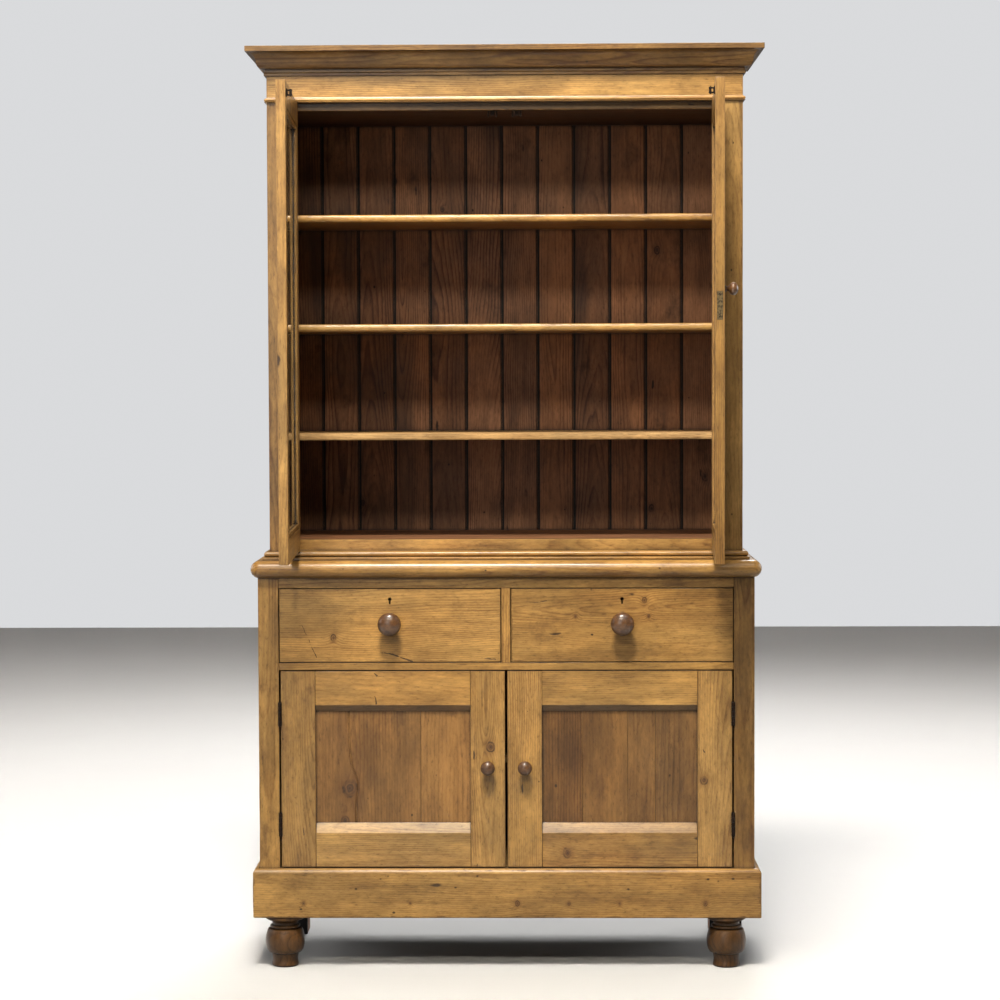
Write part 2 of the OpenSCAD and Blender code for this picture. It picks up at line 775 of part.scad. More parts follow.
module sash_lock() {
    z = lock_z - sash_z;
    translate([sash_w - lock_d, (frame_t - lock_t) / 2, z]) difference() {
        translate([0, 0, -lock_body_h / 2]) cube([lock_d - lock_plate_t + e, lock_t, lock_body_h]);
        translate([lock_d / 2, 0, 0]) keyhole(lock_t - 2);
    }
    translate([sash_w - lock_plate_t, (frame_t - lock_plate_w) / 2, z - lock_h / 2])
        cube([lock_plate_t, lock_plate_w, lock_h]);
}

module left_sash_stiles() {
    color(pine) hang_left_sash() sash_stiles(false);
}

module left_sash_rails() {
    color(pine) hang_left_sash() sash_rails();
}

module left_sash_glass() {
    color(clear) hang_left_sash() sash_glass();
}

module left_sash_beads() {
    color(pine) hang_left_sash() sash_beads();
}

module left_sash_fittings() {
    color(iron) hang_left_sash() sash_fittings();
}

module right_sash_stiles() {
    color(pine) hang_right_sash() sash_stiles(true);
}

module right_sash_rails() {
    color(pine) hang_right_sash() sash_rails();
}

module right_sash_glass() {
    color(clear) hang_right_sash() sash_glass();
}

module right_sash_beads() {
    color(pine) hang_right_sash() sash_beads();
}

module right_sash_fittings() {
    color(iron) hang_right_sash() sash_fittings();
}

module right_sash_knob() {
    color(knob_wood) hang_right_sash() at_sash_knob() turned_knob(sash_knob_r, 30, 5, 16);
}

module right_sash_lock() {
    color(brass) hang_right_sash() sash_lock();
}

// ---- lower doors ----

panel_x = door_stile_w - groove_d + slip;
panel_low = door_rail_h + low_bevel_h - groove_d + slip;
panel_high = door_h - (door_rail_h + high_bevel_h - groove_d + slip);
shoulder = 0.3;                 // joint between a rail's end and the stile

door_tenon_y = 7;
door_tenon_h = door_rail_h - 2 * tenon_in;
panel_groove_w = panel_t + slip;
panel_groove_y = panel_set - slip / 2;

// A rail lying along X, its upper edge sloping up from the front to the panel
module door_rail(bevel) {
    inner = door_w - 2 * door_stile_w;
    difference() {
        union() {
            translate([shoulder, 0, 0]) rotate([90, 0, 90]) linear_extrude(inner - 2 * shoulder)
                polygon([[0, 0], [frame_t, 0], [frame_t, door_rail_h + bevel],
                         [panel_set - 1, door_rail_h + bevel], [0, door_rail_h]]);
            translate([-tenon_l, door_tenon_y, tenon_in])
                cube([inner + 2 * tenon_l, tenon_t, door_tenon_h]);
        }
        translate([-e, panel_groove_y, door_rail_h + bevel - groove_d])
            cube([inner + 2 * e, panel_groove_w, groove_d + e]);
    }
}

module door_frame() {
    for (m = [0, 1]) translate([m * door_w, 0, 0]) mirror([m, 0, 0]) difference() {
        cube([door_stile_w, frame_t, door_h]);
        translate([door_stile_w - groove_d, panel_groove_y, door_rail_h - groove_d])
            cube([groove_d + e, panel_groove_w, door_h - 2 * (door_rail_h - groove_d)]);
        for (z = [tenon_in, door_h - door_rail_h + tenon_in])
            translate([door_stile_w - tenon_l - slip, door_tenon_y - slip / 2, z - slip / 2])
                cube([tenon_l + slip + e, tenon_t + slip, door_tenon_h + slip]);
        if (m == 1) translate([door_w, 0, 0]) mirror([1, 0, 0]) at_door_knob() knob_hole();
    }
    translate([door_stile_w, 0, 0]) door_rail(low_bevel_h);
    translate([door_stile_w, 0, door_h]) mirror([0, 0, 1]) door_rail(high_bevel_h);
}

module door_panel() {
    box([panel_x, panel_set, panel_low], [door_w - panel_x, panel_set + panel_t, panel_high]);
}

module at_door_knob() {
    translate([door_w - door_stile_w / 2, 0, door_h / 2 + door_knob_up]) children();
}

module door_knob() {
    at_door_knob() turned_knob(door_knob_r, 34, 7, 12);
}

module door_hinge_halves() {
    for (z = door_hinge_z) translate([-hinge_gap / 2, -knuckle_r, z - door_z])
        hinge_door_half(hinge_gap);
}

module left_door_frame() {
    color(pine) hang_left_door() door_frame();
}

module left_door_panel() {
    color(pine) hang_left_door() door_panel();
}

module left_door_knob() {
    color(knob_wood) hang_left_door() door_knob();
}

module left_door_hinges() {
    color(iron) hang_left_door() door_hinge_halves();
}

module right_door_frame() {
    color(pine) hang_right_door() door_frame();
}

module right_door_panel() {
    color(pine) hang_right_door() door_panel();
}

module right_door_knob() {
    color(knob_wood) hang_right_door() door_knob();
}

module right_door_hinges() {
    color(iron) hang_right_door() door_hinge_halves();
}

// ---- drawers ----

key_up = 64;                    // height of the keyhole above the middle of the front

module drawer_front() {
    mid = drawer_front_h / 2;
    difference() {
        box([-drawer_w / 2, 0, 0], [drawer_w / 2, frame_t, drawer_front_h]);
        translate([0, 0, mid + key_up]) keyhole(frame_t + 1);
        translate([0, 0, mid + drawer_knob_up]) knob_hole();
        for (s = [-1, 1]) translate([s * (drawer_w / 2 - drawer_side_t / 2), drawer_lap, -e])
            translate([-drawer_side_t / 2 - e, 0, 0])
                cube([drawer_side_t + 2 * e, side_lap, drawer_side_h + slip]);
        box([-drawer_w / 2 + 6, drawer_lap, cock - slip / 2],
            [drawer_w / 2 - 6, frame_t + 1, cock + drawer_bottom_t + slip / 2]);
    }
}

module drawer_box() {
    inside = drawer_w - 2 * drawer_side_t;
    end = drawer_lap + drawer_len;
    for (s = [-1, 1]) translate([s * (drawer_w / 2 - drawer_side_t / 2), 0, 0]) difference() {
        box([-drawer_side_t / 2, drawer_lap + slip, 0], [drawer_side_t / 2, end, drawer_side_h]);
        box([-s * drawer_side_t / 2 - (s > 0 ? e : 5), drawer_lap, cock - slip / 2],
            [-s * drawer_side_t / 2 + (s > 0 ? 5 : e), end + 1, cock + drawer_bottom_t + slip / 2]);
    }
    box([-inside / 2 + slip / 2, end - 14, cock + drawer_bottom_t + slip],
        [inside / 2 - slip / 2, end - 2, drawer_side_h - 8]);
    box([-inside / 2 - 4, drawer_lap + slip, cock], [inside / 2 + 4, end, cock + drawer_bottom_t]);
}

module drawer_knob() {
    translate([0, 0, drawer_front_h / 2 + drawer_knob_up]) turned_knob(drawer_knob_r, 46, 10, 12);
}

module left_drawer_front() {
    color(pine) place_drawer(-1) drawer_front();
}

module left_drawer_box() {
    color(pale_pine) place_drawer(-1) drawer_box();
}

module left_drawer_knob() {
    color(knob_wood) place_drawer(-1) drawer_knob();
}

module right_drawer_front() {
    color(pine) place_drawer(1) drawer_front();
}

module right_drawer_box() {
    color(pale_pine) place_drawer(1) drawer_box();
}

module right_drawer_knob() {
    color(knob_wood) place_drawer(1) drawer_knob();
}

front_feet();
rear_feet();
corner_blocks();
plinth();
base_sides();
base_stiles();
base_rails();
drawer_divider();
drawer_runners();
drawer_guides();
base_floor();
base_shelf();
base_bearers();
base_back_boards();
door_stops();
base_top();
waist_moulding();
case_sides();
case_stiles();
case_sill_rail();
case_head_rail();
case_floor();
case_ceiling();
case_back_boards();
frieze();
astragal();
cornice();
cornice_blocks();
shelf_top();
shelf_middle();
shelf_bottom();
shelf_bearers();
case_hinges();
catch_keepers();
left_sash_stiles();
left_sash_rails();
left_sash_glass();
left_sash_beads();
left_sash_fittings();
right_sash_stiles();
right_sash_rails();
right_sash_glass();
right_sash_beads();
right_sash_fittings();
right_sash_knob();
right_sash_lock();
left_door_frame();
left_door_panel();
left_door_knob();
left_door_hinges();
right_door_frame();
right_door_panel();
right_door_knob();
right_door_hinges();
left_drawer_front();
left_drawer_box();
left_drawer_knob();
right_drawer_front();
right_drawer_box();
right_drawer_knob();
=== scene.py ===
"""Looks of a two-part waxed pine pantry cabinet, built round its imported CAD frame."""
import json
import math
import random

import bmesh
import bpy
from mathutils import Matrix, Vector, noise


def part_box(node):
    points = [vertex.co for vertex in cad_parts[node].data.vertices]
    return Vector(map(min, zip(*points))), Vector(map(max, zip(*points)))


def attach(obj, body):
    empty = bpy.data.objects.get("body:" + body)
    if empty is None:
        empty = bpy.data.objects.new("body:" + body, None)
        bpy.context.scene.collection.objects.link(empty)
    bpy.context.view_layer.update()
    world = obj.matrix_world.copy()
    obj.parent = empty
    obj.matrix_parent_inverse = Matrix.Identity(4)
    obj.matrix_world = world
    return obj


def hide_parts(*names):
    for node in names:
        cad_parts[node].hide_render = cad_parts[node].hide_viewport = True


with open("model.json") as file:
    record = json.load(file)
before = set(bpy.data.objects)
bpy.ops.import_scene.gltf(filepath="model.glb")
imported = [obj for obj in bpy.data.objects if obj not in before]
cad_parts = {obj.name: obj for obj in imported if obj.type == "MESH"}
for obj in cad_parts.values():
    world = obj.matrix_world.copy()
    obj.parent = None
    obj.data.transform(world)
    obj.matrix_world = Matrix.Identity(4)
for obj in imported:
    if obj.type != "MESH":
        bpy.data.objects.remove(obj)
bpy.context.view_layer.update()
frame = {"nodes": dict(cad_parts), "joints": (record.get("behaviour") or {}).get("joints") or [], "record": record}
noise.seed_set(1)       # the clock seeds noise_vector otherwise, and each run differs

MM = 0.001
X, Y, Z = 0, 1, 2

CORNER_SHADE_REACH = 13 * MM          # how far from a corner the painted shade reaches
STEP = 46 * MM                  # spacing of the points that let a board go uneven
UNEVEN = 0.18 * MM              # how far hand planing leaves a face from flat
ROUND_TURNS = 64                # points round a turned piece
SCREW_RADIUS, SCREW_IN = 2.6 * MM, 7 * MM       # the lock's screws, and how far from its ends
CATCH_APART = 12 * MM           # between the side plates of a door's catch
KEEPER_APART = 18.8 * MM        # between the cheeks of a keeper
BACKDROP, WORLD_LIGHT = 0.72, 0.045             # the world as it is seen, and as it lights


# ---------------------------------------------------------------- node graphs

class Graph:
    """A short way to write a material's node tree."""

    def __init__(self, name):
        self.material = bpy.data.materials.new(name)
        self.material.use_nodes = True
        self.tree = self.material.node_tree
        self.tree.nodes.clear()
        self.out = self.node("ShaderNodeOutputMaterial")

    def node(self, kind, **settings):
        made = self.tree.nodes.new(kind)
        for key, value in settings.items():
            setattr(made, key, value)
        return made

    def put(self, socket, value):
        """Links a node's output to the socket, or sets a plain number, vector or colour on it."""
        if isinstance(value, bpy.types.NodeSocket):
            self.tree.links.new(value, socket)
        elif value is not None:
            socket.default_value = value

    def math(self, operation, a, b=None, c=None, clamp=False):
        made = self.node("ShaderNodeMath", operation=operation, use_clamp=clamp)
        for socket, value in zip(made.inputs, (a, b, c)):
            self.put(socket, value)
        return made.outputs[0]

    def swing(self, value, amount, base, clamp=False):
        """The base, moved by the amount times how far a value of 0 to 1 is from a half."""
        return self.math("MULTIPLY_ADD", self.math("SUBTRACT", value, 0.5), amount, base, clamp=clamp)

    def vector(self, operation, a, b=None, scale=None):
        made = self.node("ShaderNodeVectorMath", operation=operation)
        self.put(made.inputs[0], a)
        self.put(made.inputs[1], b)
        if scale is not None:
            self.put(made.inputs["Scale"], scale)
        number = operation in ("LENGTH", "DISTANCE", "DOT_PRODUCT")
        return made.outputs["Value"] if number else made.outputs[0]

    def split(self, vector):
        made = self.node("ShaderNodeSeparateXYZ")
        self.put(made.inputs[0], vector)
        return made.outputs

    def join(self, x, y, z):
        made = self.node("ShaderNodeCombineXYZ")
        for socket, value in zip(made.inputs, (x, y, z)):
            self.put(socket, value)
        return made.outputs[0]

    def attribute(self, name):
        return self.node("ShaderNodeAttribute", attribute_name=name).outputs["Vector"]

    def noise(self, place, stretch, detail=2.0, roughness=0.5, output="Factor"):
        """Noise with so many lumps to the metre, or so many along each of the axes."""
        if isinstance(stretch, tuple):
            place = self.vector("MULTIPLY", place, stretch)
        else:
            place = self.vector("SCALE", place, scale=stretch)
        made = self.node("ShaderNodeTexNoise")
        self.put(made.inputs["Vector"], place)
        made.inputs["Scale"].default_value = 1.0
        made.inputs["Detail"].default_value = detail
        made.inputs["Roughness"].default_value = roughness
        return made.outputs[0 if output == "Factor" else 1]

    def smooth(self, value, low, high, from_value=0.0, to_value=1.0):
        made = self.node("ShaderNodeMapRange", interpolation_type="SMOOTHSTEP")
        for socket, setting in zip(made.inputs, (value, low, high, from_value, to_value)):
            self.put(socket, setting)
        return made.outputs[0]

    def ramp(self, factor, stops):
        made = self.node("ShaderNodeValToRGB")
        self.put(made.inputs[0], factor)
        elements = made.color_ramp.elements
        while len(elements) < len(stops):
            elements.new(0.5)
        for element, (position, colour) in zip(elements, stops):
            element.position = position
            element.color = (*colour, 1.0)
        return made.outputs[0]

    def mix(self, factor, a, b, blend="MIX"):
        made = self.node("ShaderNodeMix", data_type="RGBA", blend_type=blend)
        self.put(made.inputs[0], factor)
        for socket, value in ((made.inputs[6], a), (made.inputs[7], b)):
            self.put(socket, (*value, 1.0) if isinstance(value, tuple) and len(value) == 3 else value)
        return made.outputs[2]

    def place(self):
        """The point in the object's own coordinates, which are the frame's, in metres."""
        return self.node("ShaderNodeTexCoord").outputs["Object"]

    def bump(self, height, strength, distance):
        made = self.node("ShaderNodeBump")
        made.inputs["Strength"].default_value = strength
        made.inputs["Distance"].default_value = distance
        self.put(made.inputs["Height"], height)
        return made.outputs[0]

    def surface(self, colour, roughness, normal=None, **fixed):
        made = self.node("ShaderNodeBsdfPrincipled")
        self.put(made.inputs["Base Color"], colour)
        self.put(made.inputs["Roughness"], roughness)
        self.put(made.inputs["Normal"], normal)
        for key, value in fixed.items():
            made.inputs[key.replace("_", " ")].default_value = value
        self.tree.links.new(made.outputs[0], self.out.inputs["Surface"])
        return self.material


def srgb(r, g, b):
    """A colour given as 0-255 display values, as the linear one that a shader takes."""
    def linear(value):
        value /= 255
        return value / 12.92 if value <= 0.04045 else ((value + 0.055) / 1.055) ** 2.4
    return (linear(r), linear(g), linear(b))


# ---------------------------------------------------------------- materials

def square_wave(g, value, ring):
    """0 to 1 over each growth ring: slow rise through the early wood, sharp fall after the late."""
    phase = g.math("FRACT", g.math("DIVIDE", value, ring))
    return g.ramp(phase, [(0.0, (0.25,) * 3), (0.1, (0.0,) * 3), (0.5, (0.12,) * 3),
                          (0.8, (0.62,) * 3), (0.92, (1.0,) * 3), (1.0, (0.3,) * 3)])


def scattered(g, place, size, chance, radius, stretch, ragged):
    """Marks scattered over a board: 1 inside a mark, one chance in each cell of the given size."""
    cells = g.node("ShaderNodeTexVoronoi")
    cells.inputs["Scale"].default_value = 1.0
    spot = g.vector("MULTIPLY", place, (1 / size, 1 / size, 1 / (size * stretch)))
    g.put(cells.inputs["Vector"], g.vector("ADD", spot, g.vector("SCALE", ragged, scale=0.16)))
    draw = g.split(cells.outputs["Color"])
    there = g.math("LESS_THAN", draw[0], chance)
    reach = g.math("MULTIPLY_ADD", draw[1], radius / size, 0.5 * radius / size)
    inside = g.math("SUBTRACT", 1.3, g.math("DIVIDE", cells.outputs["Distance"], reach))
    return g.math("MULTIPLY", g.smooth(inside, 0.0, 0.6), there)


def near_line(g, spot, start, end, width):
    """1 on a straight scratch between two points of the front, given as (x, z)."""
    run = Vector((end[0] - start[0], 0.0, end[1] - start[1]))
    away = g.vector("SUBTRACT", spot, (start[0], 0.0, start[1]))
    share = g.vector("DOT_PRODUCT", away, tuple(run / run.length_squared))
    share = g.math("MINIMUM", g.math("MAXIMUM", share, 0.0), 1.0)
    nearest = g.vector("SCALE", tuple(run), scale=share)
    shake = g.noise(spot, 55.0, 2.0, 0.6, "Color")
    away = g.vector("ADD", away, g.vector("SCALE", g.vector("SUBTRACT", shake, (0.5, 0.5, 0.5)),
                                          scale=7 * MM))
    away = g.vector("MULTIPLY", away, (1.0, 0.0, 1.0))
    taper = g.math("MULTIPLY_ADD", share, 0.6 * width, 0.5 * width)
    return g.math("SUBTRACT", 1.0, g.math("DIVIDE", g.vector("DISTANCE", away, nearest), taper),
                  clamp=True)


def wood(name, early, late, knot, dirt_and_shade, ring=4.6 * MM, contrast=0.65, rough=0.42, coat=0.32,
         knots=0.14, soil=0.6, soil_reach=3.5 * MM, rub=0.5, dents=1.0, marks=(), scratches=(),
         seams=0.0, stain=None, under=-0.9):
    """Sawn pine. The attributes say where a point lies in its board, in metres: across, through and
    along the grain, from the low corner (wood_lo) and to the high corner (wood_hi).

    ring is the width of a growth ring, contrast its strength, knots the chance of one in a cell,
    soil the dirt on the arrises over soil_reach, rub their bare wear, dents the number of nicks.
    marks are knots at (x, z, size), scratches go from one (x, z) to another with a width, seams is
    the width of the dark line along a board's joints, stain floods parts of it, and under is the
    lean from which a face counts as an underside and is darkened as painted shade."""
    g = Graph(name)
    low = g.attribute("wood_lo")
    high = g.attribute("wood_hi")
    seed = g.attribute("wood_seed")
    pith = g.split(g.attribute("wood_pith"))
    tint = g.split(g.attribute("wood_tint"))
    place = g.vector("ADD", low, seed)
    across, through, along = g.split(place)[:3]
    tremble = g.noise(place, 34.0, 2.0, 0.6, "Color")
    wobble = g.math("MULTIPLY_ADD", g.split(tremble)[0], 0.9, -0.45)

    # knots: columns through the board, one chance in each cell
    cells = g.node("ShaderNodeTexVoronoi", voronoi_dimensions="2D")
    cells.inputs["Scale"].default_value = 4.6
    g.put(cells.inputs["Vector"], g.join(across, g.math("MULTIPLY", along, 0.7), 0.0))
    draw = g.split(cells.outputs["Color"])
    radius = g.math("MULTIPLY_ADD", draw[1], 0.022, 0.012)
    knot_d = g.math("ADD", g.math("DIVIDE", cells.outputs["Distance"], radius), wobble)
    absent = g.math("LESS_THAN", draw[0], 1.0 - knots)
    knot_d = g.math("MULTIPLY_ADD", absent, 50.0, knot_d)
    spot = g.vector("MULTIPLY", g.place(), (1.0, 0.0, 1.0))
    for x, z, size in marks:
        away = g.vector("LENGTH", g.vector("MULTIPLY", g.vector("SUBTRACT", spot, (x, 0.0, z)),
                                           (1 / size, 1.0, 0.8 / size)))
        knot_d = g.math("MINIMUM", knot_d, g.math("ADD", away, wobble))

    # growth rings round a pith that runs slightly askew to the board
    sway = g.split(g.noise(place, (5.0, 5.0, 1.3), 2.0, 0.55, "Color"))
    quiver = g.split(g.noise(place, (60.0, 60.0, 7.0), 1.0, 0.5, "Color"))
    run = g.split(low)
    dx = g.swing(sway[0], 0.055, g.math("SUBTRACT", run[0], pith[0]))
    dy = g.math("MULTIPLY_ADD", run[2], pith[2], g.math("SUBTRACT", run[1], pith[1]))
    dy = g.swing(sway[1], 0.05, dy)
    reach = g.vector("LENGTH", g.join(dx, dy, 0.0))
    reach = g.swing(quiver[0], 0.003, reach)
    swell = g.math("EXPONENT", g.math("MULTIPLY", knot_d, -0.6))
    reach = g.math("MULTIPLY_ADD", swell, 0.016, reach)
    line = square_wave(g, reach, ring)
    depth = g.noise(place, (9.0, 9.0, 1.6), 2.0, 0.6)
    depth = g.smooth(depth, 0.3, 0.72, 0.2, 1.0)

    # fibres, streaks and slow changes of tone
    fibre = g.noise(place, (950.0, 950.0, 24.0), 3.0, 0.65)
    streak = g.noise(place, (120.0, 120.0, 3.4), 3.0, 0.62)
    mottle = g.noise(place, (13.0, 13.0, 5.0), 4.0, 0.62)
    drift = g.split(g.noise(place, (3.5, 3.5, 1.8), 3.0, 0.6, "Color"))
    pores = g.noise(place, (210.0, 210.0, 60.0), 3.0, 0.75)
    cloud = g.noise(place, (34.0, 34.0, 9.0), 4.0, 0.66)
    share = g.math("MULTIPLY", g.math("MULTIPLY", line, depth), contrast)
    share = g.swing(streak, 0.9, share)
    share = g.swing(fibre, 0.35, share)
    share = g.swing(pores, 0.5, share)
    share = g.swing(cloud, 0.75, share)
    share = g.swing(drift[0], 0.9, share)
    share = g.math("ADD", g.math("ADD", share, tint[0]), 0.16, clamp=True)
    colour = g.mix(share, early, late)
    patch = g.smooth(mottle, 0.3, 0.72, 0.70, 1.18)
    patch = g.math("MULTIPLY", patch, g.math("ADD", 1.0, tint[1]))
    patch = g.math("MULTIPLY", patch, g.smooth(pores, 0.3, 0.7, 1.06, 0.93))
    patch = g.math("MULTIPLY", patch, g.smooth(cloud, 0.32, 0.68, 1.07, 0.92))
    patch = g.math("MULTIPLY", patch, g.smooth(pores, 0.6, 0.68, 1.0, 0.72))
    warm = g.swing(drift[1], 0.6, g.math("ADD", 1.0, tint[2]))
    colour = g.mix(1.0, colour, g.join(patch, g.math("MULTIPLY", patch, g.math("POWER", warm, 0.35)),
                                       g.math("MULTIPLY", patch, warm)), "MULTIPLY")
    if stain:
        flood = g.noise(place, (7.0, 7.0, 1.4), 3.0, 0.6)
        colour = g.mix(g.smooth(flood, 0.5, 0.72, 0.0, 0.8), colour, stain)

    # knots: a ringed heart with a darker bark line round it
    heart = g.smooth(knot_d, 1.2, 0.8)
    rings = g.math("SINE", g.math("MULTIPLY", knot_d, 17.0))
    dark_rings = g.math("MULTIPLY_ADD", rings, 0.22, g.smooth(knot_d, 0.9, 0.1, 0.3, 0.85), clamp=True)
    colour = g.mix(g.smooth(knot_d, 2.8, 0.9, 0.0, 0.4), colour, late)
    colour = g.mix(g.math("MULTIPLY", heart, dark_rings), colour, knot)
    bark = g.math("MULTIPLY", g.smooth(knot_d, 1.32, 1.12), g.smooth(knot_d, 0.82, 1.0))
    broken = g.smooth(g.split(tremble)[1], 0.35, 0.62, 0.05, 0.85)
    colour = g.mix(g.math("MULTIPLY", bark, broken), colour, tuple(c * 0.5 for c in knot))

    # distance to the nearest arris: the middle one of the three distances to the board's faces
    near = g.split(g.vector("MINIMUM", low, high))
    least = g.math("MINIMUM", near[0], near[1])
    most = g.math("MAXIMUM", near[0], near[1])
    arris = g.math("MAXIMUM", least, g.math("MINIMUM", most, near[2]))
    blotch = g.noise(place, (38.0, 38.0, 20.0), 3.0, 0.68)
    edge = g.swing(blotch, -5.0 * soil_reach, arris)
    soiled = g.math("MULTIPLY", g.smooth(edge, soil_reach, 0.0), soil)
    dirt = g.noise(place, (8.0, 8.0, 6.0), 5.0, 0.72)
    soiled = g.math("MAXIMUM", soiled, g.smooth(dirt, 0.56, 0.74, 0.0, 0.55))
    colour = g.mix(soiled, colour, dirt_and_shade)
    rubbed = g.math("MULTIPLY", g.smooth(arris, 3.0 * MM, 0.8 * MM), g.smooth(blotch, 0.42, 0.6))
    colour = g.mix(g.math("MULTIPLY", rubbed, rub), colour, early)

    # painted shade in the corners between pieces, from an occlusion test, and a dark line along a board's long
    # joints
    corner = g.node("ShaderNodeAmbientOcclusion", samples=4)
    corner.inputs["Distance"].default_value = CORNER_SHADE_REACH
    # painted shade: darker where neighbouring pieces close in round a point
    corner_shade_and_seams = g.smooth(corner.outputs["AO"], 0.84, 0.48, 0.0, 0.92)
    if seams:
        beside = g.math("MINIMUM", near[0], g.math("ADD", near[1], 0.05))
        corner_shade_and_seams = g.math("MAXIMUM", corner_shade_and_seams, g.smooth(beside, seams, 0.55 * seams))
    colour = g.mix(corner_shade_and_seams, colour, tuple(c * 0.12 for c in dirt_and_shade))

    # painted shade: faces that look down are darkened
    facing = g.split(g.node("ShaderNodeNewGeometry").outputs["True Normal"])
    underside_shade = g.smooth(facing[2], under, under - 0.08, 0.0, 0.55)
    colour = g.mix(underside_shade, colour, tuple(c * 0.4 for c in dirt_and_shade))

    # worm holes, nicks along the grain, and gouges
    specks = scattered(g, place, 27 * MM, 0.17 * dents, 1.9 * MM, 1.4, tremble)
    nicks = scattered(g, place, 50 * MM, 0.24 * dents, 3.1 * MM, 3.6, tremble)
    hurt = g.math("MAXIMUM", specks, nicks)
    for start, end, width in scratches:
        line_in = near_line(g, spot, start, end, width)
        hurt = g.math("MAXIMUM", hurt, g.smooth(line_in, 0.0, 0.5))
    colour = g.mix(g.math("MULTIPLY", hurt, 0.9), colour, tuple(c * 0.35 for c in dirt_and_shade))

    height = g.math("MULTIPLY_ADD", fibre, 0.5, g.math("MULTIPLY", line, 0.3))
    height = g.math("MULTIPLY_ADD", mottle, 1.0, height)
    height = g.math("MULTIPLY_ADD", hurt, -3.0, height)
    height = g.math("MULTIPLY_ADD", bark, -0.8, height)
    normal = g.bump(height, 0.4, 0.35 * MM)
    dull = g.swing(fibre, 0.22, rough)
    dull = g.math("MULTIPLY_ADD", soiled, 0.2, dull)
    dull = g.swing(mottle, 0.25, dull, clamp=True)
    return g.surface(colour, dull, normal, Coat_Weight=coat, Coat_Roughness=0.22,
                     Specular_IOR_Level=0.28)


def turned_wood(name, light, dark, rough=0.34):
    """Polished wood of the turned knobs. turn_at holds the radius and the reach along the axis."""
    g = Graph(name)
    place = g.place()
    turn = g.split(g.attribute("turn_at"))
    bands = g.noise(place, (70.0, 12.0, 130.0), 3.0, 0.6)
    fibre = g.noise(place, (420.0, 50.0, 600.0), 2.0, 0.6)
    share = g.math("MULTIPLY_ADD", fibre, 0.4, g.math("MULTIPLY", bands, 0.8), clamp=True)
    colour = g.ramp(share, [(0.35, light), (0.75, dark)])
    hands = g.noise(place, 60.0, 4.0, 0.7)
    colour = g.mix(g.smooth(hands, 0.5, 0.72, 0.0, 0.6), colour, tuple(c * 0.35 for c in dark))
    # painted shade: the knob is darker in its neck, next to the front it stands on
    neck = g.smooth(turn[1], 14 * MM, 4 * MM)
    colour = g.mix(g.math("MULTIPLY", neck, 0.6), colour, tuple(c * 0.4 for c in dark))
    rings = g.math("SINE", g.math("MULTIPLY", turn[0], 2 * math.pi / (1.1 * MM)))
    height = g.math("MULTIPLY_ADD", rings, 0.18, fibre)
    roughness = g.smooth(hands, 0.3, 0.7, rough - 0.06, rough + 0.16)
    return g.surface(colour, roughness, g.bump(height, 0.2, 0.2 * MM), Coat_Weight=0.5,
                     Coat_Roughness=0.16)


def aged_metal(name, base, rust, rough):
    g = Graph(name)
    place = g.place()
    blotch = g.noise(place, 180.0, 4.0, 0.65)
    pits = g.noise(place, 900.0, 2.0)
    colour = g.mix(g.smooth(blotch, 0.45, 0.62), base, rust)
    roughness = g.smooth(blotch, 0.3, 0.7, rough - 0.12, rough + 0.2)
    return g.surface(colour, roughness, g.bump(pits, 0.4, 0.15 * MM), Metallic=0.85)


def old_glass(name):
    g = Graph(name)
    place = g.place()
    ripple = g.noise(place, (9.0, 9.0, 4.0), 1.0)
    return g.surface((0.97, 0.985, 0.975, 1.0), 0.02, g.bump(ripple, 0.25, 1.2 * MM),
                     Transmission_Weight=1.0, IOR=1.45)


def on(node, across, up):
    """A point (x, z) of a front, at shares of its width and of its height."""
    low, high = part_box(node)
    return low.x + across * (high.x - low.x), low.z + up * (high.z - low.z)


def knots_on(*rows):
    """Knots as (x, z, size), from a node, shares of its width and height, and a size in mm."""
    return [(*on(node, across, up), size * MM) for node, across, up, size in rows]


def scratches_on(*rows):
    """Scratches as (start, end, width), from a node, two points in shares, and a width in mm."""
    return [(on(node, *start), on(node, *end), width * MM) for node, start, end, width in rows]


# the last colour serves for dirt and for painted shade alike
HONEY = dict(early=srgb(189, 145, 80), late=srgb(114, 74, 34), knot=srgb(72, 42, 22),
             dirt_and_shade=srgb(84, 54, 28))
DOOR_KNOTS = knots_on(("left_door_frame", 0.936, 0.614, 9), ("right_door_frame", 0.875, 0.445, 8),
                      ("right_door_frame", 0.267, 0.072, 9))
DOOR_SCRATCHES = scratches_on(("left_door_frame", (0.42, 0.87), (0.425, 0.835), 2.2),
                              ("left_door_frame", (0.42, 0.99), (0.43, 0.975), 2.4),
                              ("left_door_frame", (0.1, 0.2), (0.1, 0.165), 1.8),
                              ("right_door_frame", (0.87, 0.6), (0.875, 0.585), 2.0))
DRAWER_KNOTS = knots_on(("left_drawer_front", 0.245, 0.331, 6), ("right_drawer_front", 0.6, 0.84, 5),
                        ("right_drawer_front", 0.29, 0.62, 3), ("right_drawer_front", 0.62, 0.62, 3))
PANEL_KNOTS = knots_on(("left_door_panel", 0.229, 0.31, 16), ("left_door_panel", 0.2, 0.04, 9))
# Turned plugs over the plinth's screws
PLUGS = knots_on(*(("plinth", across, 0.3, radius) for across, radius in (
    (0.521, 5), (0.622, 4), (0.722, 4), (0.89, 5), (0.1, 4), (0.31, 3))))
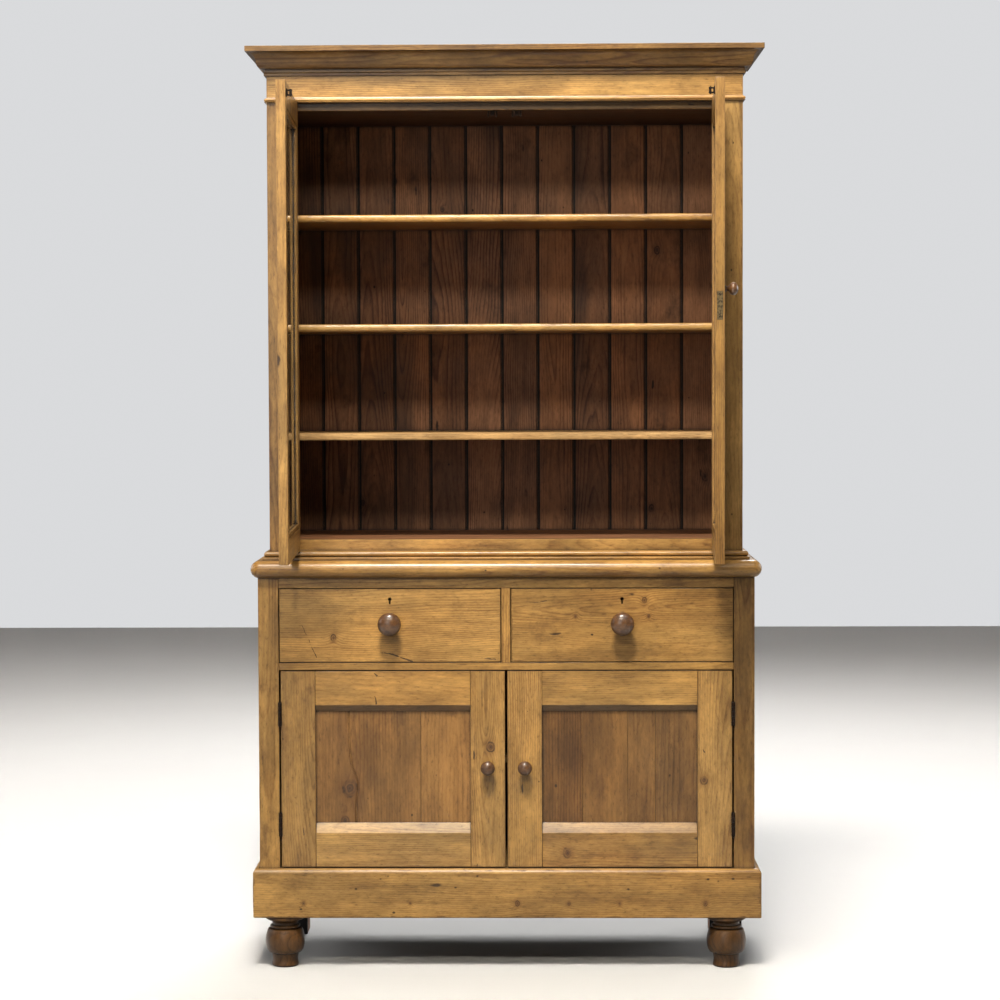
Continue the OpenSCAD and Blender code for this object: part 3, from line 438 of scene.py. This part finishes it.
# The second and third are one long split at the foot of the left drawer's front
DRAWER_SCRATCHES = scratches_on(("left_drawer_front", (0.091, 0.579), (0.167, 0.067), 1.3),
                                ("left_drawer_front", (0.455, 0.137), (0.535, 0.08), 2.2),
                                ("left_drawer_front", (0.535, 0.08), (0.6, 0.01), 2.6),
                                ("left_drawer_front", (0.93, 0.045), (0.975, 0.03), 2.0),
                                ("right_drawer_front", (0.08, 0.8), (0.16, 0.83), 1.2))
finishes = {
    "front": wood("pine_front", **HONEY, dents=1.3),
    "plinth": wood("pine_plinth", **HONEY, dents=3.5, marks=PLUGS, knots=0.05, soil=0.9),
    "polished": wood("pine_polished", **HONEY, dents=0.8, rough=0.38, coat=0.42),
    # the doors' under of -0.3 also gives painted shade to the top rail's downward bevel
    "doors": wood("pine_doors", **HONEY, marks=DOOR_KNOTS, scratches=DOOR_SCRATCHES, knots=0.03,
                  rough=0.37, coat=0.55, under=-0.3),
    "drawers": wood("pine_drawers", **HONEY, marks=DRAWER_KNOTS, scratches=DRAWER_SCRATCHES, knots=0.02,
                    dents=1.3),
    "panels": wood("pine_panels", srgb(158, 116, 66), srgb(104, 68, 36), srgb(60, 42, 30),
                   srgb(78, 52, 30), marks=PANEL_KNOTS, knots=0.0, contrast=0.6, soil=0.5,
                   soil_reach=2.5 * MM, ring=7 * MM, dents=0.6),
    # the feet's wood is darker, and darker still as painted shade for the shadow of the plinth over them
    "feet": wood("pine_feet", srgb(96, 64, 30), srgb(40, 24, 12), srgb(60, 34, 18), srgb(40, 25, 15),
                 knots=0.0, soil=0.8, dents=2.5, rough=0.44, coat=0.2),
    "side": wood("pine_side", **HONEY, ring=5 * MM, knots=0.3),
    "raw": wood("pine_raw", srgb(192, 156, 106), srgb(146, 106, 62), srgb(84, 50, 28), srgb(96, 72, 48),
                rough=0.7, coat=0.0, contrast=0.7),
    "dark": wood("pine_dark", srgb(142, 98, 66), srgb(84, 52, 34), srgb(28, 17, 12), srgb(34, 21, 14),
                 ring=5 * MM, rough=0.6, coat=0.0, contrast=0.95, knots=0.3, soil=0.7,
                 soil_reach=4 * MM, rub=0.0, seams=5.5 * MM, stain=srgb(46, 30, 22)),
    "knob": turned_wood("knob_wood", srgb(118, 79, 42), srgb(70, 43, 22)),
    "iron": aged_metal("old_iron", srgb(34, 29, 26), srgb(46, 30, 21), 0.55),
    "brass": aged_metal("old_brass", srgb(120, 104, 74), srgb(70, 58, 44), 0.45),
    "glass": old_glass("old_glass"),
}


# ---------------------------------------------------------------- pieces from the CAD solids

def turned_shut(body):
    """The matrix that swings an upper door shut, for the two bodies whose doors stand open at rest."""
    for joint in frame["joints"]:
        if joint["child"] == body and joint["type"] == "hinge" and joint["range_deg"][0] < 0:
            pin = Matrix.Translation(joint["pos_m"])
            turn = Matrix.Rotation(math.radians(joint["range_deg"][0]), 4, Vector(joint["axis"]))
            return pin @ turn @ pin.inverted()
    return Matrix.Identity(4)


def cad_solids(node, shut):
    """The node's separate solids, each a clean bmesh, square to the row frame's axes."""
    whole = bmesh.new()
    whole.from_mesh(frame["nodes"][node].data)
    bmesh.ops.remove_doubles(whole, verts=whole.verts, dist=0.004 * MM)
    bmesh.ops.transform(whole, matrix=shut, verts=whole.verts)
    seen = set()
    solids = []
    for start in whole.verts:
        if start in seen:
            continue
        group, todo = {start}, [start]
        while todo:
            for edge in todo.pop().link_edges:
                for vert in edge.verts:
                    if vert not in group:
                        group.add(vert)
                        todo.append(vert)
        seen |= group
        solid = bmesh.new()
        made = {vert: solid.verts.new(vert.co) for vert in sorted(group, key=lambda v: v.index)}
        for face in whole.faces:
            if face.verts[0] in group:
                solid.faces.new([made[vert] for vert in face.verts])
        solid.normal_update()
        solids.append(solid)
    whole.free()
    return solids


def size_of(solid):
    low = Vector([min(v.co[i] for v in solid.verts) for i in range(3)])
    high = Vector([max(v.co[i] for v in solid.verts) for i in range(3)])
    return low, high


def boxes(node, shut):
    """The low and high corners of each of the node's solids."""
    solids = cad_solids(node, shut)
    found = [size_of(solid) for solid in solids]
    for solid in solids:
        solid.free()
    return found


def block(low, high):
    """A box as a bmesh."""
    made = bmesh.new()
    bmesh.ops.create_cube(made, size=1.0)
    for vert in made.verts:
        vert.co = [(low[i] + high[i]) / 2 + vert.co[i] * (high[i] - low[i]) for i in range(3)]
    return made


def glued_up(solids, axis, shares, gap):
    """Parts each plain board into narrower ones, at shares of its width along the axis."""
    parts = []
    for solid in solids:
        low, high = size_of(solid)
        solid.free()
        cuts = [0.0, *shares, 1.0]
        for first, last in zip(cuts, cuts[1:]):
            a, b = low.copy(), high.copy()
            a[axis] = low[axis] + first * (high[axis] - low[axis]) + (gap / 2 if first else 0)
            b[axis] = low[axis] + last * (high[axis] - low[axis]) - (gap / 2 if last < 1 else 0)
            parts.append(block(a, b))
    return parts


def board_axes(low, high):
    """The board's axes in the order across, through and along the grain."""
    size = high - low
    along = max(range(3), key=lambda i: size[i])
    rest = [i for i in range(3) if i != along]
    through = min(rest, key=lambda i: size[i])
    across = next(i for i in rest if i != through)
    return across, through, along


def cut_at(solid, axis, place):
    """Cuts the faces by a plane across the axis, so that there are points to move."""
    point = Vector([place if i == axis else 0.0 for i in range(3)])
    normal = Vector([float(i == axis) for i in range(3)])
    bmesh.ops.bisect_plane(solid, geom=solid.verts[:] + solid.edges[:] + solid.faces[:],
                           dist=0.001 * MM, plane_co=point, plane_no=normal)


def slice_up(solid, axis, low, high, step):
    """Cuts the solid's faces all along the axis, about a step apart."""
    count = int((high[axis] - low[axis]) / step)
    for k in range(1, count + 1):
        cut_at(solid, axis, low[axis] + (high[axis] - low[axis]) * k / (count + 1))


def wear(solid, low, high, seed, dings):
    """Hand-planed unevenness, and rounder, knocked arrises."""
    for vert in solid.verts:
        p = vert.co
        drift = noise.noise_vector(p * 9.0 + seed)
        near = sorted(min(p[i] - low[i], high[i] - p[i]) for i in range(3))[1]
        knock = max(0.0, noise.noise(p * 38.0 + seed * 2) - 0.28) * 2.2
        blow = vert.normal * (knock * dings * max(0.0, 1 - near / (5 * MM)))
        vert.co = p + drift * UNEVEN - blow


class Crack:
    """A split that wanders down a panel through points (x, z). It is cut as a straight slot down
    the middle, which is then pushed sideways along the line, with the wood beside it."""

    depth = 4 * MM
    half = 1.3 * MM     # half its width
    spread = 40.0       # how far the push reaches, in half widths

    def __init__(self, points):
        self.points = points
        self.middle = sum(x for x, z in points) / len(points)

    def x_at(self, z):
        for (x0, z0), (x1, z1) in zip(self.points, self.points[1:]):
            if z >= z1:
                share = min(1.0, max(0.0, (z0 - z) / (z0 - z1)))
                return x0 + (x1 - x0) * share * share * (3 - 2 * share)
        return self.points[-1][0]

    def cut(self, solid):
        for k in (1.0, 2.2, 6.0, 20.0, self.spread):
            for side in (-1, 1):
                cut_at(solid, X, self.middle + side * k * self.half)

    def open(self, solid, front):
        for vert in solid.verts:
            away = vert.co.x - self.middle
            if vert.co.y < front + 2 * MM and abs(away) < 1.1 * self.half:
                vert.co.y += self.depth * (0.6 + 0.4 * noise.noise(vert.co * 30.0))
            elif vert.co.y < front + 2 * MM and abs(away) < 2.3 * self.half:
                vert.co.y += 0.25 * MM
            fade = max(0.0, 1 - abs(away) / (self.spread * self.half))
            vert.co.x += (self.x_at(vert.co.z) - self.middle) * fade


def soften(node, body, finish, slot, round_mm=1.2, round_from=30, least_edge=9 * MM, dings=0.7 * MM,
           tints=None, parts=None, crack=None):
    """Remakes a CAD node's solids as worn timber in one piece.

    Edges sharper than round_from degrees and longer than least_edge are rounded by round_mm. dings
    is the depth of the knocks on them. tints gives each solid in turn a share of late wood and a
    change of brightness; on some pieces that darkening is painted shade. parts glues a board up from
    narrower ones."""
    shut = turned_shut(body)
    opened = shut.inverted()
    rng = random.Random(node)
    joined = bmesh.new()
    layers = {name: joined.verts.layers.float_vector.new(name)
              for name in ("wood_lo", "wood_hi", "wood_seed", "wood_pith", "wood_tint")}
    solids = cad_solids(node, shut)
    if parts:
        solids = glued_up(solids, *parts)
    for number, solid in enumerate(solids):
        bmesh.ops.dissolve_limit(solid, angle_limit=math.radians(0.4), verts=solid.verts,
                                 edges=solid.edges)
        low, high = size_of(solid)
        across, through, grain = board_axes(low, high)
        if round_mm:
            sharp = [e for e in solid.edges
                     if e.is_manifold and e.is_convex and e.calc_length() > least_edge
                     and e.calc_face_angle() > math.radians(round_from)]
            bmesh.ops.bevel(solid, geom=sharp, offset=round_mm * MM, segments=3, profile=0.5,
                            affect="EDGES", clamp_overlap=False)
        split = crack if crack and low.x < crack.middle < high.x else None
        slice_up(solid, grain, low, high, STEP / 3 if split else STEP)
        if split:
            split.cut(solid)
        elif high[across] - low[across] > 2 * STEP:
            slice_up(solid, across, low, high, STEP)
        solid.normal_update()
        seed = Vector([rng.uniform(0, 9) for _ in range(3)])
        wide = high[across] - low[across]
        pith = (rng.uniform(-0.3, 1.3) * wide, -rng.uniform(0.012, 0.07), rng.uniform(-0.05, 0.05))
        late, bright = tints[number % len(tints)] if tints else (0.0, 0.0)
        tint = (late + rng.uniform(-0.09, 0.09), bright + rng.uniform(-0.07, 0.07),
                rng.uniform(-0.1, 0.1))
        wear(solid, low, high, seed, dings)
        if split:
            split.open(solid, low.y)
        made = {}
        for vert in solid.verts:
            p = vert.co
            new = joined.verts.new(opened @ p)
            axes = (across, through, grain)
            for name, value in (("wood_lo", [p[i] - low[i] for i in axes]),
                                ("wood_hi", [high[i] - p[i] for i in axes]),
                                ("wood_seed", seed), ("wood_pith", pith), ("wood_tint", tint)):
                new[layers[name]] = value
            made[vert] = new
        for face in solid.faces:
            joined.faces.new([made[vert] for vert in face.verts])
        solid.free()
    return piece(node + "_aged", joined, body, finish, [node])


def piece(name, built, body, finish, nodes=(), sharp=28):
    """Turns a bmesh into a piece that rides on a body and stands for the CAD nodes."""
    mesh = bpy.data.meshes.new(name)
    built.normal_update()
    built.to_mesh(mesh)
    built.free()
    mesh.materials.append(finishes[finish])
    for polygon in mesh.polygons:
        polygon.use_smooth = True
    mesh.set_sharp_from_angle(angle=math.radians(sharp))
    made = bpy.data.objects.new(name, mesh)
    bpy.context.scene.collection.objects.link(made)
    flatter = made.modifiers.new("even_faces", "WEIGHTED_NORMAL")
    flatter.keep_sharp = True
    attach(made, body)
    if nodes:
        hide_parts(*nodes)
    return made


body_of = {node: body for body, nodes in frame["record"]["behaviour"]["bodies"].items()
           for node in nodes}
slot_of = {entry["node"]: entry["material_slot"] for entry in frame["record"]["subparts"]}
finish_of = {"pine_front": "front", "pine_side": "side", "pine_raw": "raw", "pine_dark": "dark"}

MOULDED = dict(round_mm=0.7, dings=0.4 * MM, least_edge=20 * MM)
# The split in the left panel runs past its knot, from the top down
PANEL_CRACK = Crack([on("left_door_panel", across, up) for across, up in (
    (0.225, 1.0), (0.227, 0.765), (0.236, 0.559), (0.285, 0.345), (0.271, 0.18), (0.271, 0.0))])
SPECIAL = {
    "plinth": dict(finish="plinth", round_mm=2.2, dings=1.6 * MM),
    # painted shade: the right-hand stile is made darker, for the shade on the right of the cabinet
    "base_stiles": dict(dings=1.2 * MM, tints=[(0.05, -0.03), (0.18, -0.2)]),
    # painted shade: the left stile of the upper case is made darker, for the shadow of the open left door
    "case_stiles": dict(tints=[(0.06, -0.17), (0.0, 0.0)]),
    # painted shade: the right upper door's stiles are made darker, for the shade they stand in
    "left_sash_stiles": dict(tints=[(0.0, -0.05)]), "right_sash_stiles": dict(tints=[(0.05, -0.18)]),
    "base_top": dict(finish="polished", round_mm=0, dings=0.8 * MM),
    "shelf_top": dict(finish="polished"), "shelf_middle": dict(finish="polished"),
    "case_sill_rail": dict(finish="polished"),
    "waist_moulding": dict(finish="polished", **MOULDED), "astragal": MOULDED,
    # painted shade: the cornice is made browner and darker, the darkening for the shade on its downward hollow
    "cornice": dict(tints=[(0.3, -0.36)], **MOULDED),
    # painted shade: the head rail and the ceiling are made dark, for the shade under the astragal and inside the
    # case
    "case_head_rail": dict(tints=[(0.35, -0.55)]), "case_ceiling": dict(tints=[(0.3, -0.4)]),
    "case_back_boards": dict(round_mm=1.4, tints=[(0.1, -0.1), (0.0, 0.1), (0.05, 0.0), (-0.1, 0.05)]),
    "base_back_boards": dict(round_mm=1.4),
    "case_sides": dict(parts=(Y, (0.36, 0.70), 0.3 * MM)),
    "base_sides": dict(parts=(Y, (0.31, 0.66), 0.3 * MM)),
    "left_door_frame": dict(finish="doors", round_from=8),
    # painted shade: the right door's frame is made a little darker, for the shade on the right
    "right_door_frame": dict(finish="doors", round_from=8, tints=[(0.04, -0.06)]),
    "left_drawer_front": dict(finish="drawers"),
    # painted shade: the right drawer's front is made darker, for the shade on the right
    "right_drawer_front": dict(finish="drawers", tints=[(0.08, -0.13)]),
    "left_door_panel": dict(finish="panels", round_mm=0.6, parts=(X, (0.67,), 0.3 * MM),
                            tints=[(0.0, 0.0), (-0.1, 0.06)], crack=PANEL_CRACK),
    # painted shade: the right panel's boards are made darker, for the shade on the right
    "right_door_panel": dict(finish="panels", round_mm=0.6, parts=(X, (0.27, 0.55, 0.72), 0.3 * MM),
                             tints=[(0.2, -0.26), (0.1, -0.2), (0.24, -0.3), (0.14, -0.22)]),
    "shelf_bottom": dict(round_mm=1.5, dings=1.6 * MM),
}
TURNED = ("front_feet", "left_drawer_knob", "right_drawer_knob", "left_door_knob", "right_door_knob",
          "right_sash_knob")
for node, slot in slot_of.items():
    if node in TURNED:
        continue
    if slot in finish_of:
        settings = {"finish": finish_of[slot], **SPECIAL.get(node, {})}
        soften(node, body_of[node], slot=slot, **settings)
    else:
        data = frame["nodes"][node].data
        data.materials.clear()
        data.materials.append(finishes[slot])


# ---------------------------------------------------------------- turned pieces

def arc(r, h, radius_r, radius_h, start, end, steps):
    """Points of an elliptic arc about (r, h), from one angle to another in degrees."""
    angles = [math.radians(start + (end - start) * k / steps) for k in range(steps + 1)]
    return [(r + radius_r * math.cos(a), h + radius_h * math.sin(a)) for a in angles]


def lathe(built, outline, place, seed):
    """Turns an outline of (radius, height) about the matrix's Z axis, into the bmesh. The piece is
    taken from inside a large board, so that none of it counts as an arris."""
    layers = [built.verts.layers.float_vector.get(name) or built.verts.layers.float_vector.new(name)
              for name in ("wood_lo", "wood_hi", "wood_seed", "wood_pith", "turn_at")]
    inset = 0.2
    pith = (inset + 10 * MM, inset + 14 * MM, 0.0)
    turns = ROUND_TURNS
    rings = []
    for r, h in outline:
        count = turns if r > 1e-6 else 1
        ring = []
        for k in range(count):
            angle = 2 * math.pi * k / turns
            local = Vector((r * math.cos(angle), r * math.sin(angle), h))
            vert = built.verts.new(place @ local)
            facts = (local + Vector((inset, inset, inset)), (1.0, 1.0, 1.0), seed, pith, (r, h, 0.0))
            for layer, value in zip(layers, facts):
                vert[layer] = value
            ring.append(vert)
        rings.append(ring)
    for low, high in zip(rings, rings[1:]):
        for k in range(turns):
            a, b = low[k % len(low)], low[(k + 1) % len(low)]
            c, d = high[(k + 1) % len(high)], high[k % len(high)]
            corners = [a] + ([b] if b is not a else []) + [c] + ([d] if d is not c else [])
            built.faces.new(corners)


def foot_outline(big, high):
    """A waisted collar, a barrel, a ring, a hollow neck and a disc, from the floor up."""
    collar, collar_h = big - 15 * MM, 33 * MM
    barrel_low, barrel_high = collar_h + 2 * MM, high - 34 * MM
    middle, half = (barrel_low + barrel_high) / 2, (barrel_high - barrel_low) / 2
    neck, neck_low = collar - 2 * MM, barrel_high + 12.5 * MM
    return ([(0.0, 0.0), (collar - 5 * MM, 0.0)]
            + arc(collar - 4 * MM, 5 * MM, 4 * MM, 5 * MM, -70, 0, 5)
            + [(collar - 2 * MM * math.sin(math.pi * t / 8), 5 * MM + (collar_h - 6 * MM) * t / 8)
               for t in range(1, 9)]
            + [(collar - 0.6 * MM, collar_h), (collar + 1 * MM, collar_h + 0.6 * MM)]
            + arc(big - 9.5 * MM, barrel_low + 3 * MM, 3 * MM, 3 * MM, -80, -10, 5)
            + [(big - 6 * MM * (t / 8) ** 2, middle + half * t / 8) for t in range(-6, 9)]
            + [(collar + 4 * MM, barrel_high + 1.2 * MM), (collar + 1 * MM, barrel_high + 2.4 * MM)]
            + arc(collar + 1 * MM, barrel_high + 6.5 * MM, 3 * MM, 3.6 * MM, -80, 80, 8)
            + [(neck, barrel_high + 11.5 * MM)]
            + [(neck + 13 * MM * (1 - math.cos(a)), neck_low + 11 * MM * math.sin(a))
               for a in [math.radians(15 * k) for k in range(7)]]
            + [(big - 1.2 * MM, high - 8.6 * MM), (big, high - 7.5 * MM), (big, high - 1.5 * MM),
               (big - 1.5 * MM, high), (0.0, high)])


def make_feet():
    built = bmesh.new()
    for number, (low, high) in enumerate(boxes("front_feet", Matrix.Identity(4))):
        middle = (low + high) / 2
        stand = Matrix.Translation((middle.x, middle.y, low.z)) @ Matrix.Rotation(0.7 + number, 4, "Z")
        lathe(built, foot_outline((high.x - low.x) / 2, high.z - low.z), stand, (number * 3.1, 2.0, 5.0))
    for vert in built.verts:
        knock = max(0.0, noise.noise(vert.co * 45.0) - 0.2) * 2.5 * MM
        inward = Vector((0.0 if abs(vert.co.x) < 1e-9 else vert.normal.x, vert.normal.y, 0.0))
        vert.co -= inward * knock
    piece("front_feet_turned", built, body_of["front_feet"], "feet", ["front_feet"])


def knob_outline(big, out, stem, dowel, dowel_long):
    """A dowel, a rose, a hollow neck and a slightly flattened ball."""
    ball_low = 0.26 * out
    half = (out - ball_low) / 2
    rose = stem + 2 * MM
    return ([(0.0, -dowel_long), (dowel, -dowel_long), (dowel, 0.0), (rose - 0.6 * MM, 0.0)]
            + arc(rose - 1 * MM, 1.6 * MM, 1 * MM, 1.5 * MM, -60, 80, 6)
            + [(stem, 3.4 * MM), (stem - 0.8 * MM, 0.16 * out), (stem, 0.24 * out)]
            + arc(0.0, ball_low + half, big, half, -62, 90, 26)[:-1] + [(0.0, out)])


def make_knob(node, front_node):
    """A knob in its CAD's place and size, standing on the front that it is fixed to."""
    body = body_of[node]
    shut = turned_shut(body)
    low, high = boxes(node, shut)[0]
    face = min(corner.y for corner, _ in boxes(front_node, shut))
    big = (high.x - low.x) / 2
    out = face - low.y
    middle = (low + high) / 2
    dowel = 4.5 * MM
    stem = 9.5 * MM if big > 20 * MM else 5.6 * MM
    built = bmesh.new()
    stand = (shut.inverted() @ Matrix.Translation((middle.x, face, middle.z))
             @ Matrix.Rotation(math.pi / 2, 4, "X"))
    outline = knob_outline(big, out, stem, dowel, high.y - face)
    lathe(built, outline, stand, (middle.x, 1.0, middle.z))
    piece(node + "_turned", built, body, "knob", [node])


make_feet()
for node, front_node in (("left_drawer_knob", "left_drawer_front"),
                         ("right_drawer_knob", "right_drawer_front"),
                         ("left_door_knob", "left_door_frame"),
                         ("right_door_knob", "right_door_frame"),
                         ("right_sash_knob", "right_sash_stiles")):
    make_knob(node, front_node)


# ---------------------------------------------------------------- small fittings

def screw(built, place, radius):
    """A countersunk screw head in two halves, either side of its slot, at the matrix's z = 0."""
    slot = radius * 0.16
    steps = 20
    for side in (-1, 1):
        rim = []
        for k in range(steps + 1):
            angle = math.pi * k / steps
            x = radius * math.cos(angle)
            y = max(slot, radius * math.sin(angle))
            rim.append(Vector((x, side * y, 0.0)))
        top = [built.verts.new(place @ (p + Vector((0, 0, 0.3 * MM)))) for p in rim]
        low = [built.verts.new(place @ (p - Vector((0, 0, 1.0 * MM)))) for p in rim]
        built.faces.new(top if side > 0 else top[::-1])
        built.faces.new(low[::-1] if side > 0 else low)
        for a in range(len(rim)):
            b = (a + 1) % len(rim)
            quad = [top[a], low[a], low[b], top[b]]
            built.faces.new(quad if side > 0 else quad[::-1])


def make_lock_screws():
    body = body_of["right_sash_lock"]
    shut = turned_shut(body)
    solids = cad_solids("right_sash_lock", shut)
    low, high = size_of(max(solids, key=lambda s: len(s.verts)))
    for solid in solids:
        solid.free()
    middle_y = (low.y + high.y) / 2
    face = Matrix.Rotation(-math.pi / 2, 4, "Y")
    built = bmesh.new()
    for z, turn in ((low.z + SCREW_IN, 0.6), (high.z - SCREW_IN, -0.4)):
        place = shut.inverted() @ Matrix.Translation((low.x, middle_y, z)) @ face
        screw(built, place @ Matrix.Rotation(turn, 4, "Z"), SCREW_RADIUS)
    piece("lock_screws", built, body, "iron")


def cheeks(built, middle, apart, size, place):
    """A pair of small iron plates with rounded arrises, either side of a point along X."""
    for side in (-1, 1):
        centre = middle + Vector((side * apart / 2, 0.0, 0.0))
        plate = block(centre - Vector(size) / 2, centre + Vector(size) / 2)
        bmesh.ops.bevel(plate, geom=plate.edges[:], offset=0.5 * MM, segments=2, affect="EDGES")
        moved = {vert: built.verts.new(place @ vert.co) for vert in plate.verts}
        for face in plate.faces:
            built.faces.new([moved[vert] for vert in face.verts])
        plate.free()


def make_catches():
    """Side plates for the roller catches: on each upper door, and round each keeper in the case."""
    for side in ("left", "right"):
        node = side + "_sash_fittings"
        body = body_of[node]
        shut = turned_shut(body)
        low, high = max(boxes(node, shut), key=lambda box: box[1].z)
        built = bmesh.new()
        for out, deep, tall in ((2.6 * MM, 2.4 * MM, 12 * MM), (10.5 * MM, 5.4 * MM, 12.5 * MM)):
            middle = Vector(((low.x + high.x) / 2, low.y + out, (low.z + high.z) / 2))
            cheeks(built, middle, CATCH_APART, (1.6 * MM, deep, tall), shut.inverted())
        piece(side + "_catch_plates", built, body, "iron", sharp=40)
    built = bmesh.new()
    size = (4.4 * MM, 15 * MM, 14 * MM)
    for low, high in boxes("catch_keepers", Matrix.Identity(4)):
        middle = Vector(((low.x + high.x) / 2, high.y - 8 * MM, high.z - size[2] / 2))
        cheeks(built, middle, KEEPER_APART, size, Matrix.Identity(4))
    piece("keeper_cheeks", built, body_of["catch_keepers"], "iron", sharp=40)


make_lock_screws()
make_catches()


# ---------------------------------------------------------------- stage

def plain(name, colour, roughness):
    g = Graph(name)
    place = g.place()
    cloud = g.noise(place, 1.6, 4.0, 0.6)
    dim = tuple(c * 0.93 for c in colour)
    return g.surface(g.mix(cloud, dim, colour), roughness)


def make_floor():
    reach = 9.0
    mesh = bpy.data.meshes.new("floor")
    mesh.from_pydata([(-reach, -reach, 0), (reach, -reach, 0), (reach, reach, 0), (-reach, reach, 0)],
                     [], [(0, 1, 2, 3)])
    mesh.materials.append(plain("pale_floor", (0.30, 0.295, 0.285), 0.8))
    made = bpy.data.objects.new("floor", mesh)
    bpy.context.scene.collection.objects.link(made)
    made.visible_diffuse = False
    return made


def area_light(name, place, target, size, watts, colour=(1.0, 1.0, 1.0)):
    data = bpy.data.lights.new(name, "AREA")
    data.shape = "RECTANGLE"
    data.size, data.size_y = size
    data.energy = watts
    data.color = colour
    made = bpy.data.objects.new(name, data)
    made.location = place
    made.rotation_euler = (Vector(target) - Vector(place)).to_track_quat("-Z", "Y").to_euler()
    bpy.context.scene.collection.objects.link(made)


def make_world():
    """Pale all round to look at, also through the glass, but a dimmer light, so that the lamps
    shape the cabinet."""
    world = bpy.data.worlds.new("studio")
    bpy.context.scene.world = world
    world.use_nodes = True
    tree = world.node_tree
    tree.nodes.clear()

    def maths(operation):
        made = tree.nodes.new("ShaderNodeMath")
        made.operation = operation
        return made

    path = tree.nodes.new("ShaderNodeLightPath")
    first = maths("LESS_THAN")
    first.inputs[1].default_value = 0.5
    through = maths("MULTIPLY")
    seen = maths("MAXIMUM")
    strength = tree.nodes.new("ShaderNodeMapRange")
    strength.inputs["To Min"].default_value = WORLD_LIGHT
    strength.inputs["To Max"].default_value = BACKDROP
    background = tree.nodes.new("ShaderNodeBackground")
    background.inputs["Color"].default_value = (0.97, 0.98, 1.0, 1.0)
    out = tree.nodes.new("ShaderNodeOutputWorld")
    for source, socket in ((path.outputs["Diffuse Depth"], first.inputs[0]),
                           (first.outputs[0], through.inputs[0]),
                           (path.outputs["Is Transmission Ray"], through.inputs[1]),
                           (path.outputs["Is Camera Ray"], seen.inputs[0]),
                           (through.outputs[0], seen.inputs[1]),
                           (seen.outputs[0], strength.inputs["Value"]),
                           (strength.outputs[0], background.inputs["Strength"]),
                           (background.outputs[0], out.inputs["Surface"])):
        tree.links.new(source, socket)


def light_floor(floor):
    """An even wash over the floor alone, from the side of the main lamp."""
    data = bpy.data.lights.new("floor_wash", "SUN")
    data.energy = 1.3
    data.angle = math.radians(12)
    made = bpy.data.objects.new("floor_wash", data)
    made.rotation_euler = (math.radians(28), 0.0, math.radians(-4))
    bpy.context.scene.collection.objects.link(made)
    only = bpy.data.collections.new("floor_only")
    only.objects.link(floor)
    made.light_linking.receiver_collection = only


light_floor(make_floor())
make_world()
area_light("key", (-0.35, -3.1, 6.8), (0.0, 0.0, 1.1), (1.3, 1.1), 635, (1.0, 0.945, 0.86))
area_light("low_strip", (-0.35, -3.9, 3.7), (0.0, 0.0, 0.7), (2.2, 0.5), 84, (1.0, 0.93, 0.8))
area_light("front", (-1.6, -6.0, 1.9), (0.0, 0.0, 1.4), (2.4, 2.4), 52, (1.0, 0.96, 0.91))
area_light("side_left", (-5.0, -1.0, 2.6), (0.0, 0.2, 1.1), (2.5, 2.5), 32)
area_light("side_right", (5.0, -1.0, 2.6), (0.0, 0.2, 1.1), (2.5, 2.5), 20)
area_light("rear_left", (-5.0, 2.4, 2.4), (0.0, 0.2, 1.1), (2.5, 2.5), 90)
area_light("rear_right", (5.0, 2.4, 2.4), (0.0, 0.2, 1.1), (2.5, 2.5), 90)
area_light("back", (0.6, 4.5, 4.4), (0.0, 0.4, 1.1), (2.5, 2.5), 260)
bpy.context.scene.view_settings.view_transform = "Standard"


def add_camera():
    """A long lens, 6.5 m in front of the cabinet at chest height, turned slightly left and down."""
    data = bpy.data.cameras.new("camera")
    data.sensor_width = 36.0
    data.lens = 96.41
    data.shift_x = 0.0256
    data.shift_y = 0.0019
    made = bpy.data.objects.new("camera", data)
    made.matrix_world = (Matrix.Translation((0.0641, -6.4746, 1.4387))
                         @ Matrix.Rotation(0.0215, 4, "Z") @ Matrix.Rotation(-0.0460, 4, "X")
                         @ Matrix.Rotation(0.0038, 4, "Y") @ Matrix.Rotation(math.pi / 2, 4, "X"))
    bpy.context.scene.collection.objects.link(made)
    bpy.context.scene.camera = made


add_camera()
